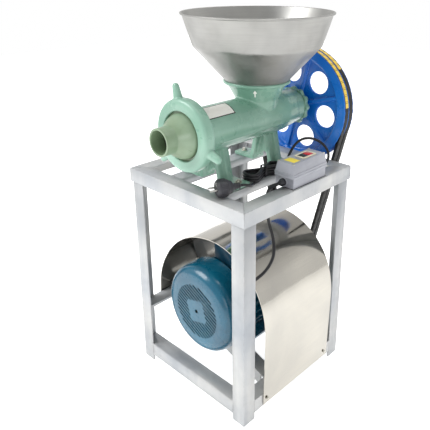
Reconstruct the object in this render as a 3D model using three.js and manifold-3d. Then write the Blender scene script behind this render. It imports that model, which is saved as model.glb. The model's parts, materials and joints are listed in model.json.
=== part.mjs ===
// Belt-driven screw grinder on an angle-iron stand.
// Millimetres, +Z up. The outlet tube faces -Y, the large pulley is at +Y.
import * as THREE from 'three';
import { mergeVertices } from 'three/addons/utils/BufferGeometryUtils.js';
import Module from 'manifold-3d';

// ---------------------------------------------------------------- dimensions
const GAP = 0.3;                 // clearance between touching pieces
const FRAME = 415;               // stand, outside width and depth
const FRAME_H = 600;             // stand height
const ANGLE = 40;                // width of an angle-iron flange
const ANGLE_DROP = 38;           // depth of a rail's hanging flange
const STEEL = 4;                 // angle-iron thickness
const LEG_OUT = FRAME / 2 - STEEL - GAP;
const LOW_RAIL_Z = 58;           // top of the front, rear and right lower rails
const HIGH_RAIL_Z = 187;         // top of the left rail
const CROSS_DROP = 20;           // depth of a cross rail's hanging flange

const BOLT_R = 4;                // M8 bolts through the feet
const BOLT_HOLE_R = 4.7;
const BOLT_HEAD_R = 7.5;

const GRIND_X = 12;              // grinder axis, across the stand
const GRIND_Z = 734;             // grinder axis, above the floor
const BARREL_R = 56;
const BORE_R = 48;
const FOOT_X = 78;               // foot bolt, from the grinder axis
const FOOT_Y = [-103, 85];       // foot bolts, along the grinder
const FOOT_PAD = 10;

const NUT_R = 88;
const NUT_OPENING_R = 59.5;
const NUT_LUG_R = 122;
const NUT_LUG_ANGLES = [104, -18, -138];

const HOPPER_Y = 47;             // hopper axis, along the stand
const HOPPER_R = 189;
const HOPPER_TOP = 997;
const THROAT_TOP = 830;
const THROAT_R = 66;             // throat bore that takes the hopper spigot

const PULLEY_Y = 212;            // front face of both pulleys
const PULLEY_W = 40;
const PULLEY_R = 165;
const PULLEY_SMALL_R = 50;
const PULLEY_HOLES = 6;
const PULLEY_HOLE_R = 31;
const PULLEY_HOLE_PITCH_R = 94;
const GROOVE_PITCH = 19;
const GROOVE_TOP_W = 17;
const GROOVE_DEPTH = 13;
const GROOVE_SLOPE = Math.tan(19 * Math.PI / 180);
const BELT_TOP = 1.0;            // belt back, below the pulley rim
const BELT_H = 10.5;
const BELT_SIDE_GAP = 0.4;

const MOTOR_X = 8;
const MOTOR_Z = 241;
const MOTOR_FOOT_H = 104;        // motor axis above its feet
const MOTOR_TILT = Math.atan((HIGH_RAIL_Z - LOW_RAIL_Z) / 361);
const MOTOR_FOOT_X = 95;         // foot bolt, from the motor axis
const MOTOR_RAIL_Y = 75;         // middle of each slanted rail, front and rear
const COWL_R = 123;
const COWL_FRONT = -180;
const COWL_REAR = -100;
const SHAFT_R = 14;

const COVER_FRONT = -132;
const COVER_REAR = 147;
const COVER_T = 1.5;
const COVER_SCREWS = [           // side, y, z
  [1, -118, 40], [1, 133, 40], [-1, -118, 170], [-1, 133, 170],
];

const SWITCH = { x0: 144, x1: 204, y0: -33, y1: 101, z0: FRAME_H + GAP, seam: 632, z1: 662 };
const BUTTON_Y = { start: 38, stop: 60 };
const GLAND = { x: 172, z: 614, r: 9 };
const MOTOR_CABLE_R = 4;
const MAINS_CORD_R = 3.5;

const CAST = { color: 0x8dbba4, roughness: 0.5, metalness: 0.0 };
const OLIVE = { color: 0x8f9c7c, roughness: 0.55, metalness: 0.0 };
const GALV = { color: 0xc3c4bf, roughness: 0.45, metalness: 0.7 };
const STAINLESS = { color: 0xcfcac0, roughness: 0.2, metalness: 0.95 };
const HOPPER_STEEL = { color: 0xa9a59c, roughness: 0.35, metalness: 0.85 };
const BARE_STEEL = { color: 0x9a9a98, roughness: 0.35, metalness: 0.9 };
const ZINC = { color: 0xb8b8b0, roughness: 0.3, metalness: 0.9 };
const BLUE = { color: 0x0a5ec8, roughness: 0.4, metalness: 0.0 };
const TEAL = { color: 0x2f7f9f, roughness: 0.35, metalness: 0.0 };
const DARK_TEAL = { color: 0x14425c, roughness: 0.4, metalness: 0.0 };
const RUBBER = { color: 0x161616, roughness: 0.75, metalness: 0.0 };
const GREY_PLASTIC = { color: 0xb4b4bd, roughness: 0.5, metalness: 0.0 };
const BLACK_PLASTIC = { color: 0x15151a, roughness: 0.4, metalness: 0.0 };
const RED_PLASTIC = { color: 0xc03038, roughness: 0.35, metalness: 0.0 };

// ------------------------------------------------------------ solid geometry
const wasm = await Module();
wasm.setup();

function toSolid(geometry) {
  const bare = geometry.clone();
  bare.deleteAttribute('normal');
  bare.deleteAttribute('uv');
  const merged = mergeVertices(bare, 1e-4);
  const index = merged.index.array;
  const kept = [];
  for (let i = 0; i < index.length; i += 3) {
    const [a, b, c] = [index[i], index[i + 1], index[i + 2]];
    if (a !== b && b !== c && c !== a) kept.push(a, b, c);
  }
  const vertProperties = new Float32Array(merged.attributes.position.array);
  const build = (tris) => new wasm.Manifold(
    new wasm.Mesh({ numProp: 3, vertProperties, triVerts: new Uint32Array(tris) }),
  );
  const solid = build(kept);
  if (solid.volume() > 0) return solid;
  const flipped = [];
  for (let i = 0; i < kept.length; i += 3) flipped.push(kept[i], kept[i + 2], kept[i + 1]);
  return build(flipped);
}

function toGeometry(solid) {
  const mesh = solid.getMesh();
  const geometry = new THREE.BufferGeometry();
  const points = [];
  for (let i = 0; i < mesh.vertProperties.length; i += mesh.numProp) {
    points.push(mesh.vertProperties[i], mesh.vertProperties[i + 1], mesh.vertProperties[i + 2]);
  }
  geometry.setAttribute('position', new THREE.Float32BufferAttribute(points, 3));
  geometry.setIndex(Array.from(mesh.triVerts));
  geometry.computeVertexNormals();
  return geometry;
}

function box(x0, x1, y0, y1, z0, z1) {
  const geometry = new THREE.BoxGeometry(x1 - x0, y1 - y0, z1 - z0);
  geometry.translate((x0 + x1) / 2, (y0 + y1) / 2, (z0 + z1) / 2);
  return toSolid(geometry);
}

function outline(points, holes = []) {
  const shape = new THREE.Shape(points.map(([a, b]) => new THREE.Vector2(a, b)));
  for (const hole of holes) {
    shape.holes.push(new THREE.Path(hole.map(([a, b]) => new THREE.Vector2(a, b))));
  }
  return shape;
}

// plan outline (x, y), raised from z0 to z1
function plate(points, z0, z1, holes = []) {
  const geometry = new THREE.ExtrudeGeometry(
    outline(points, holes), { depth: z1 - z0, bevelEnabled: false, steps: 1 },
  );
  geometry.translate(0, 0, z0);
  return toSolid(geometry);
}

// front outline (x, z), from y0 back to y1
function slab(points, y0, y1, holes = []) {
  const geometry = new THREE.ExtrudeGeometry(
    outline(points, holes), { depth: y1 - y0, bevelEnabled: false, steps: 1 },
  );
  geometry.rotateX(Math.PI / 2);
  geometry.translate(0, y1, 0);
  return toSolid(geometry);
}

function circle(cx, cy, radius, sides, turn = 0) {
  return Array.from({ length: sides }, (_, i) => {
    const a = turn + (2 * Math.PI * i) / sides;
    return [cx + radius * Math.cos(a), cy + radius * Math.sin(a)];
  });
}

// closed profile (radius, y), turned about an axis along Y at (x, z)
function turned(profile, x, z, sides = 40) {
  const closed = profile.map(([r, y]) => new THREE.Vector2(r, y));
  const first = closed[0];
  const last = closed[closed.length - 1];
  if (!(first.x < 1e-6 && last.x < 1e-6)) closed.push(first.clone());
  const geometry = new THREE.LatheGeometry(closed, sides);
  geometry.translate(x, 0, z);
  return toSolid(geometry);
}

// closed profile (radius, z), turned about an upright axis at (x, y)
function upright(profile, x, y, sides = 40) {
  return turned(profile, 0, 0, sides).rotate([90, 0, 0]).translate([x, y, 0]);
}

function disc(radius, y0, y1, x, z, sides = 32) {
  return turned([[0, y0], [radius, y0], [radius, y1], [0, y1]], x, z, sides);
}

function ring(outer, inner, y0, y1, x, z, sides = 32) {
  return turned([[inner, y0], [outer, y0], [outer, y1], [inner, y1]], x, z, sides);
}

function join(solids) {
  return solids.reduce((sum, solid) => sum.add(solid));
}

// ---------------------------------------------------------------- part list
const group = new THREE.Group();
group.name = 'screw_grinder';

function add(name, solid, look) {
  const geometry = solid.isBufferGeometry ? solid : toGeometry(solid);
  const mesh = new THREE.Mesh(geometry, new THREE.MeshStandardMaterial(look));
  mesh.name = name;
  group.add(mesh);
}

// -------------------------------------------------------------------- stand
function topRail() {
  const out = FRAME / 2;
  const mitre = GAP * 0.7;
  const flange = plate([
    [-out + mitre, -out], [out - mitre, -out],
    [out - ANGLE - mitre, -out + ANGLE], [-out + ANGLE + mitre, -out + ANGLE],
  ], FRAME_H - STEEL, FRAME_H);
  const drop = plate([
    [-out + mitre, -out], [out - mitre, -out],
    [out - STEEL - mitre, -out + STEEL], [-out + STEEL + mitre, -out + STEEL],
  ], FRAME_H - ANGLE_DROP, FRAME_H);
  return flange.add(drop);
}

function leg() {
  const o = LEG_OUT;
  return plate([
    [-o, -o], [-o + ANGLE, -o], [-o + ANGLE, -o + STEEL],
    [-o + STEEL, -o + STEEL], [-o + STEEL, -o + ANGLE], [-o, -o + ANGLE],
  ], 0, FRAME_H - STEEL - GAP);
}

// rail along X at the front, notched to pass behind the leg flanges
function lowerRail(top) {
  const o = LEG_OUT;
  const end = o - ANGLE - GAP;
  const far = o - STEEL - GAP;
  const flange = plate([
    [-end, -o], [end, -o], [end, -far], [far, -far], [far, -o + ANGLE],
    [-far, -o + ANGLE], [-far, -far], [-end, -far],
  ], top - STEEL, top);
  return flange.add(box(-end, end, -o, -o + STEEL, top - ANGLE_DROP, top));
}

function plainLowerRail(top) {
  const o = LEG_OUT;
  const end = o - ANGLE - GAP;
  const flange = box(-end, end, -o, -o + ANGLE, top - STEEL, top);
  return flange.add(box(-end, end, -o, -o + STEEL, top - ANGLE_DROP, top));
}

function drilled(solid, side) {
  return COVER_SCREWS.filter(([at]) => at === side)
    .reduce((rail, [, y, z]) => rail.subtract(screwHole(side, y, z)), solid);
}

function crossRail(boltX) {
  const end = FRAME / 2 - ANGLE - GAP;
  const x1 = boltX + ANGLE / 2;
  const flange = box(x1 - ANGLE, x1, -end, end, FRAME_H - STEEL, FRAME_H);
  const drop = box(x1 - STEEL, x1, -end, end, FRAME_H - CROSS_DROP, FRAME_H);
  const holes = FOOT_Y.map((y) => plate(circle(boltX, y, BOLT_HOLE_R, 14), FRAME_H - 10, FRAME_H + 10));
  return holes.reduce((rail, hole) => rail.subtract(hole), flange.add(drop));
}

// top surface of the slanted rails at x
function slantTop(x) {
  const rest = LEG_OUT - 5;
  return LOW_RAIL_Z + GAP + STEEL / Math.cos(MOTOR_TILT) + (rest - x) * Math.tan(MOTOR_TILT);
}

// side: -1 front rail, +1 rear rail; the hanging flange is on the outer side
function slantedRail(side) {
  const thick = STEEL / Math.cos(MOTOR_TILT);
  const low = LEG_OUT - 6;
  const high = -LEG_OUT + 3;
  const inner = LEG_OUT - ANGLE - 2 * GAP;
  const y0 = side * MOTOR_RAIL_Y - ANGLE / 2;
  const y1 = side * MOTOR_RAIL_Y + ANGLE / 2;
  const flange = slab([
    [high, slantTop(high) - thick], [low, slantTop(low) - thick],
    [low, slantTop(low)], [high, slantTop(high)],
  ], y0, y1);
  const dropY = side < 0 ? [y0, y0 + STEEL] : [y1 - STEEL, y1];
  const drop = slab([
    [-inner, slantTop(-inner) - ANGLE_DROP], [inner, slantTop(inner) - ANGLE_DROP],
    [inner, slantTop(inner)], [-inner, slantTop(-inner)],
  ], dropY[0], dropY[1]);
  let rail = flange.add(drop);
  for (const x of [-MOTOR_FOOT_X, MOTOR_FOOT_X]) {
    const hole = motorFrame(plate(
      circle(x, side * MOTOR_RAIL_Y, BOLT_HOLE_R, 14), -MOTOR_FOOT_H - 15, -MOTOR_FOOT_H + 15,
    ));
    rail = rail.subtract(hole);
  }
  return rail;
}

function buildStand() {
  const turns = { front: 0, right: 90, rear: 180, left: 270 };
  for (const [side, turn] of Object.entries(turns)) {
    add(`top_rail_${side}`, topRail().rotate([0, 0, turn]), GALV);
  }
  const corners = { front_left: 0, front_right: 90, rear_right: 180, rear_left: 270 };
  for (const [corner, turn] of Object.entries(corners)) {
    add(`leg_${corner}`, leg().rotate([0, 0, turn]), GALV);
  }
  add('lower_rail_front', lowerRail(LOW_RAIL_Z), GALV);
  add('lower_rail_rear', lowerRail(LOW_RAIL_Z).rotate([0, 0, 180]), GALV);
  add('lower_rail_right', drilled(plainLowerRail(LOW_RAIL_Z).rotate([0, 0, 90]), 1), GALV);
  add('motor_rail_left', drilled(lowerRail(HIGH_RAIL_Z).rotate([0, 0, 270]), -1), GALV);
  add('cross_rail_left', crossRail(GRIND_X - FOOT_X), GALV);
  add('cross_rail_right', crossRail(GRIND_X + FOOT_X), GALV);
  add('slanted_rail_front', slantedRail(-1), GALV);
  add('slanted_rail_rear', slantedRail(1), GALV);
}

// ------------------------------------------------------------------ grinder
function leafFoot(side, y) {
  const across = (points) => points.map(([x, z]) => [GRIND_X + side * x, z]);
  const padTop = FRAME_H + GAP + FOOT_PAD;
  const blade = slab(across([
    [-20, 690], [-22, 660], [-20, 644], [26, padTop - 4], [52, padTop - 4], [31, 684], [26, 708],
  ]), y - 7, y + 7);
  const spine = slab(across([
    [4, 700], [26, padTop - 4], [40, padTop - 4], [20, 700],
  ]), y - 22, y + 22);
  const x0 = GRIND_X + side * 26;
  const x1 = GRIND_X + side * 96;
  const pad = box(
    Math.min(x0, x1), Math.max(x0, x1), y - 23, y + 23, FRAME_H + GAP, padTop,
  );
  const hole = plate(circle(GRIND_X + side * FOOT_X, y, BOLT_HOLE_R, 14), FRAME_H - 10, padTop + 10);
  return join([blade, spine, pad]).subtract(hole);
}

function grinderBody() {
  const barrel = turned([
    [0, -203], [72, -203], [72, -184], [69, -177], [58, -172], [BARREL_R, -166],
    [BARREL_R, 122],
    [50, 164], [47, 168], [47, 195], [0, 195],
  ], GRIND_X, GRIND_Z, 40);
  const neck = upright([
    [0, 745], [50, 745], [56, 782], [77, 820], [87, 822], [87, THROAT_TOP], [0, THROAT_TOP],
  ], GRIND_X, HOPPER_Y, 36);
  const feet = [];
  for (const y of FOOT_Y) {
    feet.push(leafFoot(1, y), leafFoot(-1, y));
  }
  const bore = disc(BORE_R, -210, 150, GRIND_X, GRIND_Z, 32);
  const plateSeat = disc(63, -210, -178, GRIND_X, GRIND_Z, 32);
  const shaftHole = disc(17, 140, 200, GRIND_X, GRIND_Z, 24);
  const bearingSeat = disc(36, 172, 200, GRIND_X, GRIND_Z, 32);
  const throat = upright([
    [0, 740], [43, 740], [48, 785], [THROAT_R, 810], [THROAT_R, 840], [0, 840],
  ], GRIND_X, HOPPER_Y, 32);
  let body = join([barrel, neck, ...feet]);
  for (const cut of [bore, plateSeat, shaftHole, bearingSeat, throat]) {
    body = body.subtract(cut);
  }
  return body;
}

function ringNut() {
  const shell = turned([
    [NUT_OPENING_R, -215], [78, -215], [85, -212.5], [NUT_R, -207], [NUT_R, -190],
    [85, -184], [73, -184], [73, -206.5], [NUT_OPENING_R, -206.5],
  ], GRIND_X, GRIND_Z, 40);
  const lugs = NUT_LUG_ANGLES.map((degrees) => {
    const points = [[80, -14], ...roundEnd(NUT_LUG_R - 9, 9), [80, 14]];
    const flat = slab(points, -209, -189);
    return flat.rotate([0, -degrees, 0]).translate([GRIND_X, 0, GRIND_Z]);
  });
  return join([shell, ...lugs]);
}

// half circle bulging towards +x, from below to above
function roundEnd(cx, radius) {
  return Array.from({ length: 9 }, (_, i) => {
    const a = -Math.PI / 2 + (Math.PI * i) / 8;
    return [cx + radius * Math.cos(a), radius * Math.sin(a)];
  });
}

function outletCone() {
  return turned([
    [28, -278], [33, -278], [33, -247], [36, -243], [52, -221], [54.5, -213], [54.5, -206.2],
    [72, -206.2], [72, -203.3], [46, -203.3], [46, -212], [28, -240],
  ], GRIND_X, GRIND_Z, 32);
}

function grindingPlate() {
  const holes = [circle(GRIND_X, GRIND_Z, 12.3, 16)];
  for (const [radius, count] of [[28, 5], [47, 10]]) {
    for (let i = 0; i < count; i += 1) {
      const a = (2 * Math.PI * i) / count;
      holes.push(circle(GRIND_X + radius * Math.cos(a), GRIND_Z + radius * Math.sin(a), 6.5, 8));
    }
  }
  return slab(circle(GRIND_X, GRIND_Z, 62.5, 28), -202.8, -192.5, holes);
}

function cuttingKnife() {
  const blades = [];
  for (let i = 0; i < 4; i += 1) {
    blades.push(slab([[8, -8], [58, -13], [60, 3], [8, 9]], -192, -182).rotate([0, 90 * i, 0]));
  }
  const hub = disc(20, -192, -179, 0, 0, 24);
  const hole = disc(12.3, -200, -170, 0, 0, 16);
  return join([hub, ...blades]).subtract(hole).translate([GRIND_X, 0, GRIND_Z]);
}

// flat strip wound round the core: box vertices moved onto a helix
function flight(inner, outer, thick, y0, y1, turns, steps) {
  const geometry = new THREE.BoxGeometry(1, 1, 1, 1, 1, steps);
  const p = geometry.attributes.position;
  for (let i = 0; i < p.count; i += 1) {
    const along = p.getZ(i) + 0.5;
    const radius = inner + (p.getX(i) + 0.5) * (outer - inner);
    const a = 2 * Math.PI * turns * along;
    const y = y0 + (y1 - y0) * along + p.getY(i) * thick;
    p.setXYZ(i, GRIND_X + radius * Math.cos(a), y, GRIND_Z + radius * Math.sin(a));
  }
  return toSolid(geometry);
}

function auger() {
  const core = turned([
    [0, -201], [11.7, -201], [11.7, -178.5], [19, -177], [19, 140], [40, 143], [40, 149],
    [0, 149],
  ], GRIND_X, GRIND_Z, 18);
  const screw = flight(15, 46.5, 8, -168, 132, 4.5, 72);
  const socket = disc(SHAFT_R + GAP, 118, 160, GRIND_X, GRIND_Z, 24);
  return join([core, screw]).subtract(socket);
}

function bearingCap() {
  const lobes = 12;
  const points = [];
  for (let i = 0; i < lobes * 6; i += 1) {
    const a = (2 * Math.PI * i) / (lobes * 6);
    const r = 50.5 + 3 * Math.cos(lobes * a);
    points.push([GRIND_X + r * Math.cos(a), GRIND_Z + r * Math.sin(a)]);
  }
  return slab(points, 195 + GAP, 207, [circle(GRIND_X, GRIND_Z, 16, 24)]);
}

// hex head on top, plain shank, hex nut below the clamped flange
function bolt(headZ, nutTopZ) {
  const head = plate(circle(0, 0, BOLT_HEAD_R, 6), headZ, headZ + 5.3);
  const shank = plate(circle(0, 0, BOLT_R, 14), nutTopZ - 11, headZ + 1);
  const nut = plate(circle(0, 0, BOLT_HEAD_R, 6), nutTopZ - 7, nutTopZ);
  return join([head, shank, nut]);
}

function buildGrinder() {
  add('grinder_body', grinderBody(), CAST);
  add('ring_nut', ringNut(), CAST);
  add('outlet_cone', outletCone(), OLIVE);
  add('grinding_plate', grindingPlate(), BARE_STEEL);
  add('cutting_knife', cuttingKnife(), BARE_STEEL);
  add('auger', auger(), BARE_STEEL);
  add('main_shaft', turned([
    [0, 119], [SHAFT_R, 119], [SHAFT_R, 262], [0, 262],
  ], GRIND_X, GRIND_Z, 24), BARE_STEEL);
  add('shaft_bearing', ring(35.7, SHAFT_R + GAP, 173, 192, GRIND_X, GRIND_Z, 32), BARE_STEEL);
  add('bearing_cap', bearingCap(), CAST);
  let number = 1;
  for (const side of [-1, 1]) {
    for (const y of FOOT_Y) {
      const piece = bolt(FRAME_H + GAP + FOOT_PAD + GAP, FRAME_H - STEEL - GAP);
      add(`foot_bolt_${number}`, piece.translate([GRIND_X + side * FOOT_X, y, 0]), ZINC);
      number += 1;
    }
  }
}

// ------------------------------------------------------------------- hopper
function hopper() {
  const spigot = THROAT_R - 0.7;
  return upright([
    [84, 831], [161, 915], [163, 919], [HOPPER_R - 2.5, 992], [HOPPER_R + 2, 993.5],
    [HOPPER_R + 2, HOPPER_TOP], [HOPPER_R - 2, HOPPER_TOP], [161, 921], [159, 917],
    [80.5, 832.5], [spigot - 2, 832.5], [spigot - 2, 812], [spigot, 812], [spigot, THROAT_TOP + GAP],
    [84, THROAT_TOP + GAP],
  ], GRIND_X, HOPPER_Y, 40);
}

// ------------------------------------------------------------ pulleys, belts
function grooves(radius) {
  const middle = PULLEY_Y + PULLEY_W / 2;
  const profile = [];
  for (const centre of [middle - GROOVE_PITCH / 2, middle + GROOVE_PITCH / 2]) {
    const top = GROOVE_TOP_W / 2;
    const foot = top - GROOVE_DEPTH * GROOVE_SLOPE;
    profile.push([radius, centre - top], [radius - GROOVE_DEPTH, centre - foot]);
    profile.push([radius - GROOVE_DEPTH, centre + foot], [radius, centre + top]);
  }
  return profile;
}

function bigPulley() {
  const y0 = PULLEY_Y;
  const y1 = PULLEY_Y + PULLEY_W;
  const profile = [
    [SHAFT_R + GAP, y0 - 3], [30, y0 - 3], [33, y0], [33, y0 + 12], [134, y0 + 12],
    [138, y0], [PULLEY_R, y0], ...grooves(PULLEY_R), [PULLEY_R, y1], [138, y1],
    [134, y0 + 20], [33, y0 + 20], [33, y1], [SHAFT_R + GAP, y1],
  ];
  let pulley = turned(profile, 0, 0, 48);
  for (let i = 0; i < PULLEY_HOLES; i += 1) {
    const spoke = box(30, 137, y0 + 4, y0 + 28, -5, 5);
    pulley = pulley.add(spoke.rotate([0, -60 * i - 30, 0]));
  }
  for (let i = 0; i < PULLEY_HOLES; i += 1) {
    const hole = disc(PULLEY_HOLE_R, y0 - 10, y1 + 10, PULLEY_HOLE_PITCH_R, 0, 20);
    pulley = pulley.subtract(hole.rotate([0, -60 * i, 0]));
  }
  return pulley.rotate([0, 14, 0]).translate([GRIND_X, 0, GRIND_Z]);
}

function motorPulley() {
  const y0 = PULLEY_Y;
  const y1 = PULLEY_Y + PULLEY_W;
  return turned([
    [SHAFT_R + GAP, y0], [PULLEY_SMALL_R, y0], ...grooves(PULLEY_SMALL_R),
    [PULLEY_SMALL_R, y1], [26, y1], [26, y1 - 8], [SHAFT_R + GAP, y1 - 8],
  ], MOTOR_X, MOTOR_Z, 28);
}

// closed path round both pulleys: point and outward direction at t in 0..1
function beltPath(steps) {
  const big = PULLEY_R - BELT_TOP;
  const small = PULLEY_SMALL_R - BELT_TOP;
  const dx = MOTOR_X - GRIND_X;
  const dz = MOTOR_Z - GRIND_Z;
  const span = Math.hypot(dx, dz);
  const line = Math.atan2(dz, dx);
  const open = Math.acos((big - small) / span);
  const path = [];
  const arc = (cx, cz, radius, from, to, count) => {
    for (let i = 0; i <= count; i += 1) {
      const a = from + ((to - from) * i) / count;
      path.push({ x: cx, z: cz, r: radius, c: Math.cos(a), s: Math.sin(a) });
    }
  };
  arc(GRIND_X, GRIND_Z, big, line + open, line + 2 * Math.PI - open, steps);
  arc(MOTOR_X, MOTOR_Z, small, line - open, line + open, Math.round(steps / 3));
  return path;
}

function belt(centreY) {
  const path = beltPath(42);
  const geometry = new THREE.TorusGeometry(10, 1, 4, path.length);
  const p = geometry.attributes.position;
  const widthAt = (depth) => GROOVE_TOP_W / 2 - depth * GROOVE_SLOPE - BELT_SIDE_GAP;
  const top = widthAt(BELT_TOP);
  const foot = widthAt(BELT_TOP + BELT_H);
  const corners = [[0, top], [0, -top], [BELT_H, -foot], [BELT_H, foot]];
  const around = path.length + 1;
  for (let i = 0; i < p.count; i += 1) {
    const corner = corners[Math.floor(i / around) % 4];
    const at = path[(i % around) % path.length];
    const r = at.r - corner[0];
    p.setXYZ(i, at.x + r * at.c, centreY + corner[1], at.z + r * at.s);
  }
  return toSolid(geometry);
}

function buildDrive() {
  add('big_pulley', bigPulley(), BLUE);
  const nut = slab(circle(0, 0, 19, 6), PULLEY_Y + PULLEY_W + GAP, PULLEY_Y + PULLEY_W + 9);
  const nutHole = disc(SHAFT_R + GAP, 200, 300, 0, 0, 24);
  add('pulley_nut', nut.subtract(nutHole).translate([GRIND_X, 0, GRIND_Z]), ZINC);
  const middle = PULLEY_Y + PULLEY_W / 2;
  add('belt_inner', belt(middle - GROOVE_PITCH / 2), RUBBER);
  add('belt_outer', belt(middle + GROOVE_PITCH / 2), RUBBER);
  add('motor_pulley', motorPulley(), BARE_STEEL);
}

// -------------------------------------------------------------------- motor
// motor coordinates (x across, y along, z up from the axis) to stand coordinates
function motorFrame(solid) {
  return solid.rotate([0, (MOTOR_TILT * 180) / Math.PI, 0]).translate([MOTOR_X, 0, MOTOR_Z]);
}

function motorBody() {
  const shell = turned([
    [0, -112], [92, -112], [97, -104], [97, 112], [90, 124], [62, 150], [44, 166], [30, 170], [0, 170],
  ], 0, 0, 36);
  const pieces = [shell];
  for (let i = 0; i < 17; i += 1) {
    const a = -30 + i * 15;
    pieces.push(box(94, 109, -97, 108, -2, 2).rotate([0, -a, 0]));
  }
  for (const side of [-1, 1]) {
    const foot = [side * 55, side * 113].sort((a, b) => a - b);
    const web = [side * 58, side * 82].sort((a, b) => a - b);
    const base = -MOTOR_FOOT_H + GAP;
    pieces.push(box(foot[0], foot[1], -98, 98, base, base + 11));
    pieces.push(box(web[0], web[1], -90, 90, base + 5, -60));
  }
  let body = join(pieces);
  const cavity = disc(72, -100, 118, 0, 0, 24);
  const frontHole = disc(15, -120, 0, 0, 0, 20);
  const rearHole = disc(17, 100, 180, 0, 0, 20);
  for (const cut of [cavity, frontHole, rearHole]) body = body.subtract(cut);
  for (const x of [-MOTOR_FOOT_X, MOTOR_FOOT_X]) {
    for (const y of [-MOTOR_RAIL_Y, MOTOR_RAIL_Y]) {
      const hole = plate(circle(x, y, BOLT_HOLE_R, 14), -MOTOR_FOOT_H - 10, -MOTOR_FOOT_H + 30);
      body = body.subtract(hole);
    }
  }
  return body;
}

function fanCowl() {
  let cowl = turned([
    [0, COWL_FRONT], [94, COWL_FRONT], [107, COWL_FRONT + 4], [118, COWL_FRONT + 13],
    [COWL_R, COWL_FRONT + 27], [COWL_R, COWL_REAR], [COWL_R - 2.5, COWL_REAR],
    [COWL_R - 2.5, COWL_FRONT + 27], [115, COWL_FRONT + 15], [105, COWL_FRONT + 7],
    [93, COWL_FRONT + 3], [0, COWL_FRONT + 3],
  ], 0, 0, 40);
  const reach = 76;
  const pitch = 9.4;
  for (let i = -8; i <= 7; i += 1) {
    const v = (i + 0.5) * pitch;
    const half = Math.sqrt(reach * reach - v * v);
    const clear = Math.max(0, 44 - Math.abs(v));
    const spans = clear > 0 ? [[-half, -clear], [clear, half]] : [[-half, half]];
    for (const [u0, u1] of spans) {
      if (u1 - u0 < 6) continue;
      cowl = cowl.subtract(box(u0, u1, COWL_FRONT - 5, COWL_FRONT + 9, v - 2, v + 2));
    }
  }
  return cowl.rotate([0, 28, 0]).translate([MOTOR_X, 0, MOTOR_Z]);
}

function coolingFan() {
  const pieces = [disc(24, -152, -128, 0, 0, 24), disc(86, -131, -128, 0, 0, 32)];
  for (let i = 0; i < 8; i += 1) {
    pieces.push(box(20, 98, -152, -128, -1.5, 1.5).rotate([0, 45 * i, 0]));
  }
  const hole = disc(12.3, -160, -120, 0, 0, 20);
  return join(pieces).subtract(hole).translate([MOTOR_X, 0, MOTOR_Z]);
}

function motorShaft() {
  return turned([
    [0, -156], [12, -156], [12, -84], [62, -70], [62, 96], [SHAFT_R, 110], [SHAFT_R, 242],
    [0, 242],
  ], MOTOR_X, MOTOR_Z, 28);
}

function terminalBox() {
  const shell = slab([[-58, 110.5], [58, 110.5], [76, 150], [76, 158], [-76, 158], [-76, 150]], -92, 14);
  const lid = slab([[-80, 153], [80, 153], [80, 161], [-80, 161]], -96, 18);
  return motorFrame(shell.add(lid));
}

function buildMotor() {
  add('motor_body', motorFrame(motorBody()), TEAL);
  add('fan_cowl', fanCowl(), TEAL);
  add('cooling_fan', coolingFan(), BLACK_PLASTIC);
  add('motor_shaft', motorShaft(), BARE_STEEL);
  add('terminal_box', terminalBox(), DARK_TEAL);
  let number = 1;
  for (const x of [-MOTOR_FOOT_X, MOTOR_FOOT_X]) {
    for (const y of [-MOTOR_RAIL_Y, MOTOR_RAIL_Y]) {
      const piece = bolt(-MOTOR_FOOT_H + 11 + 2 * GAP, -MOTOR_FOOT_H - STEEL - 2 * GAP);
      add(`motor_bolt_${number}`, motorFrame(piece.translate([x, y, 0])), ZINC);
      number += 1;
    }
  }
}

// -------------------------------------------------------------------- cover
function cover() {
  const curve = new THREE.CatmullRomCurve3([
    [-204.7, 190], [-199, 248], [-181, 298], [-150, 346], [-107, 389], [-58, 418], [0, 433],
    [50, 434], [100, 420], [145, 391], [178, 352], [199, 305], [208, 255], [208.5, 205],
  ].map(([x, z]) => new THREE.Vector3(x, 0, z)));
  const arch = curve.getPoints(34).map((p) => [p.x, p.z]);
  const line = [[-204.3, 160], ...arch, [206.5, 120], [204.3, 24]];
  const offset = line.map(([x, z], i) => {
    const a = line[Math.max(0, i - 1)];
    const b = line[Math.min(line.length - 1, i + 1)];
    const length = Math.hypot(b[0] - a[0], b[1] - a[1]);
    return [x - ((b[1] - a[1]) / length) * COVER_T, z + ((b[0] - a[0]) / length) * COVER_T];
  });
  return slab([...line, ...offset.reverse()], COVER_FRONT, COVER_REAR);
}

// head outside, shank through cover and rail
function coverScrew(side, y, z) {
  const inside = LEG_OUT - STEEL - 8;
  const outside = LEG_OUT + 5;
  const head = turned([[0, 0], [4.5, 0], [4, 2.2], [2, 3], [0, 3.2]], 0, 0, 16);
  const shank = turned([[0, inside - outside], [2, inside - outside], [2, 1], [0, 1]], 0, 0, 10);
  const screw = head.add(shank).rotate([0, 0, -90]).translate([outside, 0, 0]);
  const turnedTo = side > 0 ? screw : screw.rotate([0, 0, 180]);
  return turnedTo.translate([0, y, z]);
}

function screwHole(side, y, z) {
  const hole = turned([[0, -30], [2.5, -30], [2.5, 30], [0, 30]], 0, 0, 10);
  return hole.rotate([0, 0, 90]).translate([side * LEG_OUT, y, z]);
}

function buildCover() {
  let sheet = cover();
  for (const [side, y, z] of COVER_SCREWS) sheet = sheet.subtract(screwHole(side, y, z));
  add('belt_cover', sheet, STAINLESS);
  COVER_SCREWS.forEach(([side, y, z], i) => {
    add(`cover_screw_${i + 1}`, coverScrew(side, y, z), ZINC);
  });
}

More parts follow.
